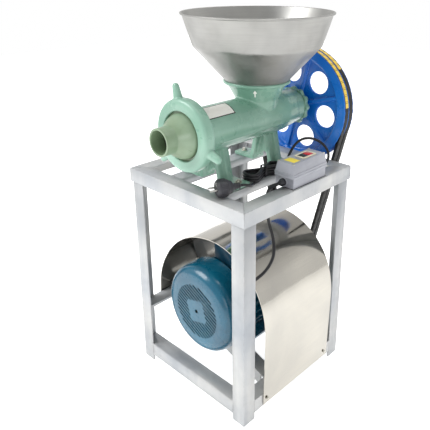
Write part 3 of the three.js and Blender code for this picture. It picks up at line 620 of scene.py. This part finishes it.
def decal(name, target, middle, out, up, height, half, lift=0.25, steps=(10, 28)):
    """A thin patch laid on a piece by rays run back along out. half(v) is its half width."""
    tree = BVHTree.FromPolygons(
        [v.co for v in target.data.vertices], [list(p.vertices) for p in target.data.polygons],
    )
    out = Vector(out).normalized()
    up = Vector(up)
    up = (up - up.dot(out) * out).normalized()
    right = up.cross(out)
    bm = bmesh.new()
    rows = []
    for j in range(steps[1] + 1):
        v = j / steps[1]
        row = []
        for i in range(steps[0] + 1):
            u = (2 * i / steps[0] - 1) * half(v)
            above = Vector(middle) + right * u + up * (v - 0.5) * height + out * 140
            hit = tree.ray_cast(above * MM, -out)[0]
            if hit is None:
                raise ValueError(name + " misses its surface")
            row.append(bm.verts.new(hit + out * lift * MM))
        rows.append(row)
    for first, second in zip(rows, rows[1:]):
        for i in range(steps[0]):
            bm.faces.new([first[i], first[i + 1], second[i + 1], second[i]])
    return from_bmesh(name, bm, 80.0)


LOOKS = make_looks()
make_camera()

# ---------------------------------------------------------------------- cords
CABLE_R, LEAD_R = 4.0, 3.5
MOTOR_CABLE = [
    (172, -29, 614), (172, -40, 614), (170.6, -48.5, 613), (166.6, -56, 610),
    (160.8, -61, 603.8), (156.4, -63, 593), (153.4, -63, 575), (152, -59, 545),
    (154, -54, 510), (170, -56, 472), (184, -70, 436), (186, -96, 410), (178, -126, 392),
    (160, -142, 378), (134, -144, 366), (112, -130, 360), (102, -114, 358), (96, -97, 357),
]
LEAD_OUT = [
    (172, 116, 614), (172, 141, 614), (171.4, 154, 616.5), (169, 165, 625), (163.5, 171, 637.5),
    (154, 171, 650.5), (142, 166, 661.5), (129, 158, 669), (117, 147, 672.5), (107.5, 133, 671.5),
    (102.5, 117, 665.5), (101.5, 101, 656), (103.5, 86, 644.5), (107, 72.5, 634.5),
    (110.5, 62.6, 629), (112.2, 54, 626.3),
]
LEAD_TAIL = [
    (112.6, -63, 603.9), (115.6, -72, 604.5), (122, -83, 607.4), (128.3, -94.5, 612.2),
    (131.3, -106, 617.6), (130.3, -117, 621.4), (126.8, -126.2, 622.3),
]
HANK_X, HANK_Y = 91.0, -4.0
HANK_HALF = 42.0                  # half the straight run between the folds
HANK_FOLD = 21.5
HANK_TURNS = 3
HANK_RISE = 7.2                   # each turn below the last
HANK_PINCH = 0.82
HANK_TOP = 625.5
PLUG_PLACE, PLUG_TURN = (108.0, -167.0, 622.3), -25.0


def hank_path():
    """The lead's turns, from its highest right run down to its lowest, in millimetres."""
    lap = 4 * HANK_HALF + 2 * math.pi * HANK_FOLD
    start = HANK_Y + HANK_HALF + 8
    made = []
    total = HANK_TURNS * lap + 2 * HANK_HALF + 20
    steps = int(total / 3)
    for k in range(steps + 1):
        s = total * k / steps
        t = (s + HANK_HALF - (start - HANK_Y)) % lap
        fold = math.pi * HANK_FOLD
        if t < 2 * HANK_HALF:
            x, y = HANK_FOLD, HANK_HALF - t
        elif t < 2 * HANK_HALF + fold:
            a = (t - 2 * HANK_HALF) / HANK_FOLD
            x, y = HANK_FOLD * math.cos(a), -HANK_HALF - HANK_FOLD * math.sin(a)
        elif t < 4 * HANK_HALF + fold:
            x, y = -HANK_FOLD, -HANK_HALF + (t - 2 * HANK_HALF - fold)
        else:
            a = (t - 4 * HANK_HALF - fold) / HANK_FOLD
            x, y = -HANK_FOLD * math.cos(a), HANK_HALF + HANK_FOLD * math.sin(a)
        if s < 8:
            x, y = HANK_FOLD, HANK_HALF + 8 - s
        squeeze = math.cos(math.pi * y / 110) ** 2 if abs(y) < 55 else 0.0
        rise = HANK_RISE * max(0.0, s - 8) / lap
        made.append((
            HANK_X + x * (1 - HANK_PINCH * squeeze), HANK_Y + y,
            max(HANK_TOP - rise, HANK_TOP - HANK_RISE * HANK_TURNS),
        ))
    return made


def metres(points):
    return [Vector(p) * MM for p in points]


cable_path = smooth_path(metres(MOTOR_CABLE), 8)
cable = tube("motor_cable_sheath", cable_path, CABLE_R * MM)
stand_for(cable, "motor_cable", "cord_rubber")

turns = hank_path()
lead_path = smooth_path(metres([*LEAD_OUT[:-1], *turns, *LEAD_TAIL]), 3)
lead = tube("mains_lead", lead_path, LEAD_R * MM)
wear(lead, "cord_rubber", "stand", ["mains_cord", "mains_hank", "mains_tail"])

plug_body = lathe("plug_body", rounded([
    (0, -15), (17, -15), (22, -10, 3), (22, 4), (21, 10, 3), (17, 15), (14.5, 22), (8, 26, 3),
    (7, 34), (6, 44), (0, 44),
], 1.2, closed=False), (0, 0))
ribs = [lathe("rib", [(6.2, y), (7.3, y + 0.8), (7.3, y + 2.2), (6.0, y + 3)], (0, 0), "Y", 48)
        for y in (30, 35, 40)]
for k in range(8):
    turn = 45 * k
    grip = block("grip", (19.5, -6, -4.4), (22.7, 7, 4.4), 1.1)
    grip.data.transform(Matrix.Rotation(math.radians(turn), 4, "Y"))
    ribs.append(grip)
plug_body = joined("plug_body", [plug_body, *ribs])
pins = [lathe("pin", rounded([(0, -33), (2.4, -33, 1.2), (2.4, -14), (0, -14)], 0.8, False),
              (x, 0), "Y", 32) for x in (-9.5, 9.5)]
pins.append(lathe(
    "earth", [(2.6, -15.4), (4.6, -15.4), (4.6, -14.2), (2.6, -14.2)], (0, 11), "Y", 32))
plug_pins = joined("plug_pins", pins)
placed(plug_body, PLUG_TURN, PLUG_PLACE)
placed(plug_pins, PLUG_TURN, PLUG_PLACE)
wear(plug_body, "plug_black", "stand", ["mains_plug"])
wear(plug_pins, "pin_nickel", "stand", ["mains_plug"])

tie = outline_solid(
    "hank_tie",
    rounded([(81.6, 600.3), (100.4, 600.3), (100.4, 631.0), (81.6, 631.0)], 5.0),
    HANK_Y - 3.5, HANK_Y + 3.5,
    holes=[rounded([(82.9, 601.0), (99.1, 601.0), (99.1, 629.8), (82.9, 629.8)], 4.2)], bevel=0.2)
wear(tie, "cord_rubber")

# ---------------------------------------------------------------------- stand
STAND_NODES = [
    *(f"top_rail_{side}" for side in ("front", "right", "rear", "left")),
    *(f"leg_{corner}" for corner in ("front_left", "front_right", "rear_right", "rear_left")),
    "lower_rail_front", "lower_rail_rear", "lower_rail_right", "motor_rail_left",
    "cross_rail_left", "cross_rail_right", "slanted_rail_front", "slanted_rail_rear",
]
for node in STAND_NODES:
    stand_for(eased(node, node + "_steel", 0.9), node, "stand_steel")

# Weld beads: down each corner, where the lower rails meet the legs, under the top flanges,
# and at the ends of the cross rails.
beads = []
corner = HALF_STAND - 0.3
inside = HALF_STAND - 4.3 - ANGLE
for sx in (-1, 1):
    for sy in (-1, 1):
        seed = 10 + sx + 3 * sy
        leg_y = SHIFT_Y + sy * (corner - 4.5)
        flange_y = SHIFT_Y + sy * (HALF_STAND - 5)
        beads.append(bead(
            "bead", (sx * corner, SHIFT_Y + sy * corner, STAND_TOP - 37),
            (sx * corner, SHIFT_Y + sy * corner, STAND_TOP - 1), 1.1, seed))
        beads.append(bead(
            "bead", (sx * inside, leg_y, LOW_RAIL - 37), (sx * inside, leg_y, LOW_RAIL - 2),
            1.6, seed + 20))
        beads.append(bead(
            "bead", (sx * (HALF_STAND - 42), flange_y, UNDER_FLANGE),
            (sx * (HALF_STAND - 6), flange_y, UNDER_FLANGE), 1.5, seed + 40))
for x in CROSS_RAIL_EDGES:
    for sy in (-1, 1):
        y = SHIFT_Y + sy * (HALF_STAND - ANGLE + 0.1)
        beads.append(bead("bead", (x, y, 596.6), (x + 4, y, 599.2), 1.4, 90 + x + sy))
wear(joined("stand_welds", beads), "stand_steel")

# -------------------------------------------------------------------- grinder
BARREL_R = 56.0


def barrel_rib(degrees, reach, width, y0, y1):
    rib = block("rib", (BARREL_R - 6, y0, -width / 2), (BARREL_R + reach, y1, width / 2), 1.2)
    rib.data.transform(
        Matrix.Translation(Vector((GRIND_X, 0, GRIND_Z)) * MM)
        @ Matrix.Rotation(math.radians(-degrees), 4, "Y"))
    return rib


body = joined("grinder_casting", [
    copy_of("grinder_body", "grinder_casting_copy"),
    barrel_rib(-22, 3.0, 5.0, -128, 128), barrel_rib(202, 3.0, 5.0, -128, 128),
])
cast(body, 1.9, 9)
stand_for(body, "grinder_body", "green_casting")


NUT_LUG_ANGLES = (104, -18, -138)


def nut_lug(degrees):
    lug = lathe("lug", rounded([
        (0, 74), (14.5, 74), (13.2, 84), (10.6, 104), (9.2, 117, 6), (5.5, 122, 3), (0, 122.4),
    ], 1.5, closed=False), (0, 0), "Z", 40)
    flat = Matrix.Diagonal((1.0, 0.78, 1.0, 1.0))
    spin = Matrix.Rotation(math.radians(90 - degrees), 4, "Y")
    middle = Matrix.Translation(Vector((GRIND_X, -190.5, GRIND_Z)) * MM)
    lug.data.transform(middle @ spin @ flat)
    return lug


nut_shell = lathe("nut_shell", rounded([
    (59.5, -207, 1.6), (77, -207, 3), (85, -204.5, 3), (88, -199, 4), (88, -182, 3),
    (85, -176, 2),
    (73, -176, 0.8), (73, -198.5, 0.6), (59.5, -198.5, 0.6),
], 1.0), (GRIND_X, GRIND_Z), segments=160)
nut = joined("ring_nut_casting", [nut_shell, *(nut_lug(d) for d in NUT_LUG_ANGLES)])
stand_for(cast(nut, 1.5, 5, 0.45), "ring_nut", "green_casting")
bearing_cap = cast(copy_of("bearing_cap", "bearing_cap_casting"), 1.5, 5)
stand_for(bearing_cap, "bearing_cap", "green_casting")
outlet = lathe("outlet_spout", rounded([
    (28.2, -270, 1.5), (33, -270, 1.5), (33, -240, 2), (36.5, -235, 2), (50, -216, 8),
    (54.5, -205, 4), (54.5, -198.2, 0.5), (72, -198.2), (72, -195.3), (46, -195.3), (46, -204),
    (28.2, -232, 3),
], 0.6, steps=6), (GRIND_X, GRIND_Z), segments=144)
stand_for(outlet, "outlet_cone", "olive_casting")
for node in ("grinding_plate", "cutting_knife", "auger", "main_shaft", "shaft_bearing"):
    stand_for(eased(node, node + "_steel", 0.3), node, "bare_steel")

for number in range(1, 5):
    for kind in ("foot_bolt", "motor_bolt"):
        node = f"{kind}_{number}"
        stand_for(eased(node, node + "_zinc", 0.5), node, "zinc_steel")
washers = []
for side in (-1, 1):
    for y in (-95.0, 93.0):
        x = GRIND_X + side * 78
        ring = lathe(
            "washer", rounded([(4.6, 610.4), (9.6, 610.4), (9.6, 611.2), (4.6, 611.2)], 0.2),
            (x, y), "Z", 48)
        end = lathe("thread", [(0, 615.4), (3.9, 615.4), (3.9, 617.2), (3.2, 618.0), (0, 618.0)],
                    (x, y), "Z", 32)
        washers += [ring, end]
wear(joined("foot_bolt_threads", washers), "zinc_steel")


LABEL_Y, LABEL_ANGLE = -112.0, math.radians(63)
label_out = (math.cos(LABEL_ANGLE), 0, math.sin(LABEL_ANGLE))
wear(decal("barrel_label_border", body, (GRIND_X, LABEL_Y, GRIND_Z), label_out, (0, 1, 0), 91.0,
           lambda v: 20.6, 0.2), "button_black")
wear(decal("barrel_label", body, (GRIND_X, LABEL_Y, GRIND_Z), label_out, (0, 1, 0), 85.6,
           lambda v: 18.5, 0.4), "label_white")


def arrow_half(v):
    return 1.5 if v < 0.55 else 0.1 + 5.4 * (1 - v) / 0.45


wear(decal("turning_arrow", body, (GRIND_X, HOPPER_Y, 806), (0.62, -0.78, 0), (0, 0, 1), 19.0,
           arrow_half, 0.3), "label_white")

# --------------------------------------------------------------------- hopper
hopper = lathe("hopper_spinning", rounded([
    (84, 831, 0.5), (161, 915, 5), (163.5, 919.5, 2), (186.5, 992, 1), (191, 992.6, 1.6),
    (191.6, 997.2, 1.6), (187, 997.2, 1.4), (162, 921.5, 3), (159.4, 917.2, 5), (80.5, 832.5, 1),
    (63.3, 832.5, 0.6), (63.3, 812, 0.4), (65.3, 812, 0.4), (65.3, 830.3, 0.4), (84, 830.3, 0.4),
], 0.6, steps=6), (GRIND_X, HOPPER_Y), "Z", 192, 40.0)
stand_for(hopper, "hopper", "hopper_steel")

# ---------------------------------------------------------------------- drive
BIG_R, SMALL_R = 165.0, 50.0
BELT_H, BELT_BACK, BELT_FOOT = 10.5, 7.76, 4.14   # height, half widths at back and foot
MARK_R, MARK_HALF = BIG_R - 0.95, 6.2
stand_for(cast(copy_of("big_pulley", "big_pulley_casting"), 1.9, 6), "big_pulley", "pulley_blue")
stand_for(eased("pulley_nut", "pulley_nut_zinc", 0.8), "pulley_nut", "zinc_steel")


def groove_profile(radius):
    made = []
    for centre in GROOVES:
        foot = 8.5 - 13 * math.tan(math.radians(19))
        made += [(radius, centre - 8.5, 0.6), (radius - 13, centre - foot, 0.6),
                 (radius - 13, centre + foot, 0.6), (radius, centre + 8.5, 0.6)]
    return made


small = lathe("motor_pulley_turned", rounded([
    (14.3, PULLEY_Y), (SMALL_R, PULLEY_Y, 1), *groove_profile(SMALL_R),
    (SMALL_R, PULLEY_Y + 40, 1), (26, PULLEY_Y + 40, 1), (26, PULLEY_Y + 32, 1),
    (14.3, PULLEY_Y + 32),
], 0.5), (MOTOR_X, MOTOR_Z), segments=128)
stand_for(small, "motor_pulley", "bare_steel")


def belt_line(step=3.0):
    """Points round both pulleys on the belt's back: (x, z, outward x, outward z)."""
    big, little = BIG_R - 1, SMALL_R - 1
    dx, dz = MOTOR_X - GRIND_X, MOTOR_Z - GRIND_Z
    span, line = math.hypot(dx, dz), math.atan2(dz, dx)
    open_angle = math.acos((big - little) / span)
    made = []
    for cx, cz, r, start, end in (
            (GRIND_X, GRIND_Z, big, line + open_angle, line + 2 * math.pi - open_angle),
            (MOTOR_X, MOTOR_Z, little, line - open_angle, line + open_angle)):
        count = int(r * (end - start) / step)
        for i in range(count + 1):
            a = start + (end - start) * i / count
            made.append((cx + r * math.cos(a), cz + r * math.sin(a), math.cos(a), math.sin(a)))
    full = []
    for i, (x, z, c, s) in enumerate(made):
        x2, z2 = made[(i + 1) % len(made)][:2]
        full.append((x, z, c, s))
        gap = math.hypot(x2 - x, z2 - z)
        if gap > 4 * step:
            for k in range(1, int(gap / 8)):
                t = k / int(gap / 8)
                full.append((x + (x2 - x) * t, z + (z2 - z) * t, c, s))
    return full


def belt(name, centre):
    corners = rounded([
        (0, BELT_BACK), (0, -BELT_BACK), (BELT_H, -BELT_FOOT), (BELT_H, BELT_FOOT),
    ], 1.0, steps=3)
    bm = bmesh.new()
    rings = []
    for x, z, c, s in belt_line():
        rings.append([
            bm.verts.new(Vector((x - depth * c, centre + across, z - depth * s)) * MM)
            for depth, across in corners
        ])
    for k, first in enumerate(rings):
        second = rings[(k + 1) % len(rings)]
        for i in range(len(corners)):
            j = (i + 1) % len(corners)
            bm.faces.new([first[i], first[j], second[j], second[i]])
    return from_bmesh(name, bm, 50.0)


def belt_marks(name, centre, start, end):
    """Dashes along a belt's back round the big pulley, from start to end in degrees."""
    bm = bmesh.new()
    a = start
    while a < end:
        for low, high in ((a, a + 4.6), (a + 5.0, a + 6.1)):
            rows = []
            for k in range(7):
                t = math.radians(low + (high - low) * k / 6)
                x, z = GRIND_X + MARK_R * math.cos(t), GRIND_Z + MARK_R * math.sin(t)
                rows.append([bm.verts.new(Vector((x, centre + across, z)) * MM)
                             for across in (-MARK_HALF, 0, MARK_HALF)])
            for first, second in zip(rows, rows[1:]):
                for i in range(2):
                    bm.faces.new([first[i], first[i + 1], second[i + 1], second[i]])
        a += 6.4
    return from_bmesh(name, bm)


stand_for(belt("belt_inner_rubber", GROOVES[0]), "belt_inner", "belt_rubber")
stand_for(belt("belt_outer_rubber", GROOVES[1]), "belt_outer", "belt_rubber")
wear(belt_marks("belt_inner_marks", GROOVES[0], 5, 150), "belt_mark", BODY_OF["belt_inner"])
wear(belt_marks("belt_outer_marks", GROOVES[1], 42, 150), "belt_mark", BODY_OF["belt_outer"])

# ---------------------------------------------------------------------- motor
stand_for(eased("motor_body", "motor_housing", 1.0, 25.0), "motor_body", "motor_teal")
stand_for(eased("motor_shaft", "motor_shaft_steel", 0.4), "motor_shaft", "bare_steel")
stand_for(eased("cooling_fan", "cooling_fan_nylon", 0.4), "cooling_fan", "fan_plastic")
stand_for(eased("terminal_box", "terminal_box_cast", 1.6), "terminal_box", "motor_dark")

COWL_FRONT, COWL_REAR, COWL_R = -172.0, -92.0, 123.0
COWL_TURN = math.radians(28)
SLOT_PITCH, SLOT_HALF, SLOT_REACH = 9.4, 2.6, 76.0
LOZENGE = 44.0                    # plain middle, from its centre to its points
cowl = lathe("fan_cowl_pressing", rounded([
    (0, COWL_FRONT), (92, COWL_FRONT, 6), (108, COWL_FRONT + 4, 6), (119, COWL_FRONT + 14, 6),
    (COWL_R, COWL_FRONT + 28, 8), (COWL_R, COWL_REAR, 0.6), (COWL_R - 2.5, COWL_REAR, 0.6),
    (COWL_R - 2.5, COWL_FRONT + 28, 7), (117, COWL_FRONT + 15, 6), (107, COWL_FRONT + 5.4, 6),
    (91.6, COWL_FRONT + 1.2, 5), (0, COWL_FRONT + 1.2),
], 2.0, closed=False, steps=6), (0, 0), segments=160)
slots = []
for i in range(-8, 8):
    v = (i + 0.5) * SLOT_PITCH
    half = math.sqrt(SLOT_REACH ** 2 - v ** 2)
    clear = max(0.0, LOZENGE - abs(v))
    spans = [(-half, -clear), (clear, half)] if clear > 0 else [(-half, half)]
    for u0, u1 in spans:
        if u1 - u0 >= 6:
            slots.append(block(
                "slot", (u0, COWL_FRONT - 5, v - SLOT_HALF), (u1, COWL_FRONT + 9, v + SLOT_HALF),
                1.2))
slots.append(lathe("hub_hole", [(0, COWL_FRONT - 5), (5.5, COWL_FRONT - 5), (5.5, COWL_FRONT + 9),
                                (0, COWL_FRONT + 9)], (0, 0), segments=40))
cutter = joined("cowl_slots", slots)
cut_away(cowl, cutter)
cowl.data.transform(
    Matrix.Translation(Vector((MOTOR_X, 0, MOTOR_Z)) * MM)
    @ Matrix.Rotation(COWL_TURN, 4, "Y"))
stand_for(cowl, "fan_cowl", "motor_teal")

screws = []
for sx in (-1, 1):
    for y in (-80, 18):
        screws.append(lathe("screw", rounded([
            (0, 161.2), (4.4, 161.2), (4.4, 163.4), (3, 164.6), (0, 164.6),
        ], 0.5, False), (sx * 70, y), "Z", 32))
wear(tilted(joined("terminal_box_screws", screws)), "zinc_steel")
cowl_screws = []
for degrees in (35, 145, 215, 325):
    head = lathe("screw", rounded([(0, 122.6), (5, 122.6), (4.6, 124.6), (2.6, 126), (0, 126)],
                                  0.5, False), (0, -100), "Z", 32)
    head.data.transform(
        Matrix.Translation(Vector((MOTOR_X, 0, MOTOR_Z)) * MM)
        @ Matrix.Rotation(math.radians(degrees), 4, "Y"))
    cowl_screws.append(head)
wear(joined("cowl_screws", cowl_screws), "zinc_steel")

# ---------------------------------------------------------------------- cover
COVER_T = 1.5
COVER_ARCH = [
    (-204.7, 190), (-199, 248), (-181, 298), (-150, 346), (-107, 389), (-58, 418), (0, 433),
    (50, 434), (100, 420), (145, 391), (178, 352), (199, 305), (208, 255), (208.5, 205),
]


def cover_line():
    arch = smooth_path([(x, 0, z) for x, z in COVER_ARCH], 8)
    return [(-204.3, 160), *((p[0], p[2]) for p in arch), (206.5, 120), (204.3, 24)]


def cover_sheet(name):
    line = cover_line()
    outside = []
    for i, (x, z) in enumerate(line):
        a, b = line[max(0, i - 1)], line[min(len(line) - 1, i + 1)]
        length = math.hypot(b[0] - a[0], b[1] - a[1])
        outside.append((
            x - (b[1] - a[1]) / length * COVER_T, z + (b[0] - a[0]) / length * COVER_T,
        ))
    loop = [*line, *reversed(outside)]
    rows = 14
    bm = bmesh.new()
    rings = []
    for k in range(rows + 1):
        y = COVER_FRONT + (COVER_REAR - COVER_FRONT) * k / rows
        rings.append([bm.verts.new(Vector((x, y, z)) * MM) for x, z in loop])
    count, half = len(loop), len(line)
    for first, second in zip(rings, rings[1:]):
        for i in range(count):
            bm.faces.new([first[i], first[(i + 1) % count], second[(i + 1) % count], second[i]])
    for ring in (rings[0], rings[-1]):
        for i in range(half - 1):
            bm.faces.new([ring[i], ring[i + 1], ring[count - 2 - i], ring[count - 1 - i]])
    return from_bmesh(name, bm, 40.0)


stand_for(cover_sheet("belt_cover_sheet"), "belt_cover", "cover_steel")
for number in range(1, 5):
    node = f"cover_screw_{number}"
    stand_for(eased(node, node + "_head", 0.3), node, "zinc_steel")

# ----------------------------------------------------------------- switch box
stand_for(eased("switch_base", "switch_base_moulding", 1.2), "switch_base", "switch_grey")
stand_for(eased("switch_lid", "switch_lid_moulding", 2.6), "switch_lid", "switch_grey")
wear(block("switch_gasket", (145.2, -23.8, 599.9), (202.8, 107.8, 600.9), 0.2), "gasket_black")
frame_outline = rounded([(158, 31), (190, 31), (190, 83), (158, 83)], 5.0)
hole_outline = rounded([(163, 36), (185, 36), (185, 78), (163, 78)], 2.0)


def flat_frame(name, outer, inner, z0, z1, bevel):
    """A frame drawn in plan, from z0 up to z1."""
    made = outline_solid(name, outer, z0, z1, holes=[inner], bevel=bevel)
    turn = Matrix(((1, 0, 0, 0), (0, 0, 1, 0), (0, 1, 0, 0), (0, 0, 0, 1)))
    made.data.transform(turn)
    made.data.flip_normals()
    return made


wear(flat_frame("button_frame", frame_outline, hole_outline, 661.6, 664.0, 0.7), "plate_cream")
wear(flat_frame("button_surround", hole_outline,
                rounded([(163.4, 37.4), (184.6, 37.4), (184.6, 76.6), (163.4, 76.6)], 1.0),
                661.4, 663.6, 0.1), "button_black")
for node, slot_name in (("start_button", "button_black"), ("stop_button", "button_red")):
    stand_for(eased(node, node + "_cap", 1.6), node, slot_name)
for node in ("gland_motor_side", "gland_mains_side"):
    stand_for(eased(node, node + "_moulding", 0.5), node, "plug_black")
collar = rounded([(9.4, -25.6), (13.4, -25.6), (13.4, -23.2), (9.4, -23.2)], 0.6)
wear(lathe("gland_collar", collar, (172, 614)), "switch_grey")
lid_screws = []
for x in (151, 197):
    for y in (-18, 102):
        lid_screws.append(lathe("screw", rounded([
            (0, 661.3), (3.2, 661.3), (3.0, 662.9), (1.4, 663.4), (0, 663.4),
        ], 0.4, False), (x, y), "Z", 32))
wear(joined("switch_lid_screws", lid_screws), "zinc_steel")
wear(block("switch_label", (158, -8, 661.9), (190, 16, 662.35), 0.15), "label_yellow")

# --------------------------------------------------------------- floor, lights
bm = bmesh.new()
bmesh.ops.create_grid(bm, x_segments=2, y_segments=2, size=6.0)
floor = from_bmesh("floor", bm)
floor.location.z = -0.0004
floor_look = Look("pale floor")
floor_tone = floor_look.noise(3.0, 4.0)
floor_look.colour(floor_look.mix(floor_tone, linear((250, 250, 250)), linear((255, 255, 255))))
floor_look.rough(floor_look.spread(floor_look.noise(8.0), 0.3, 0.7, 0.55, 0.65))
floor_look.shader.inputs["Emission Color"].default_value = (1.0, 1.0, 1.0, 1.0)
floor_look.shader.inputs["Emission Strength"].default_value = 0.7
floor.data.materials.append(floor_look.material)


def softbox(name, place, aim, size, power):
    light = bpy.data.lights.new(name, "AREA")
    light.shape = "SQUARE"
    light.size = size
    light.energy = power
    piece = bpy.data.objects.new(name, light)
    piece.location = place
    piece.rotation_mode = "QUATERNION"
    piece.rotation_quaternion = (Vector(place) - Vector(aim)).to_track_quat("Z", "Y")
    bpy.context.scene.collection.objects.link(piece)


softbox("key", (-1.7, -2.3, 2.8), (0, 0, 0.5), 1.8, 95)
softbox("side", (2.6, -1.9, 1.3), (0, 0, 0.5), 1.2, 14)
softbox("top", (0.2, 0.9, 3.2), (0, 0, 0.6), 2.0, 45)

# A white room that dims overhead and towards its front right (+X, -Y).
world = bpy.data.worlds.new("studio")
world.use_nodes = True
tree = world.node_tree
direction = tree.nodes.new("ShaderNodeTexCoord").outputs["Generated"]
height = tree.nodes.new("ShaderNodeSeparateXYZ")
tree.links.new(direction, height.inputs["Vector"])
ramp = tree.nodes.new("ShaderNodeMapRange")
for key, number in (("From Min", 0.3), ("From Max", 0.7), ("To Min", 1.0), ("To Max", 0.5)):
    ramp.inputs[key].default_value = number
tree.links.new(height.outputs["Z"], ramp.inputs["Value"])
facing = tree.nodes.new("ShaderNodeVectorMath")
facing.operation = "DOT_PRODUCT"
facing.inputs[1].default_value = (-0.62, 0.78, 0.0)
tree.links.new(direction, facing.inputs[0])
behind = tree.nodes.new("ShaderNodeMapRange")
for key, number in (("From Min", -0.75), ("From Max", 0.25), ("To Min", 0.7), ("To Max", 1.0)):
    behind.inputs[key].default_value = number
tree.links.new(facing.outputs["Value"], behind.inputs["Value"])
product = tree.nodes.new("ShaderNodeMath")
product.operation = "MULTIPLY"
tree.links.new(ramp.outputs["Result"], product.inputs[0])
tree.links.new(behind.outputs["Result"], product.inputs[1])
tree.nodes["Background"].inputs["Color"].default_value = (1.0, 1.0, 1.0, 1.0)
tree.links.new(product.outputs["Value"], tree.nodes["Background"].inputs["Strength"])
bpy.context.scene.world = world
bpy.context.scene.view_settings.view_transform = "Standard"
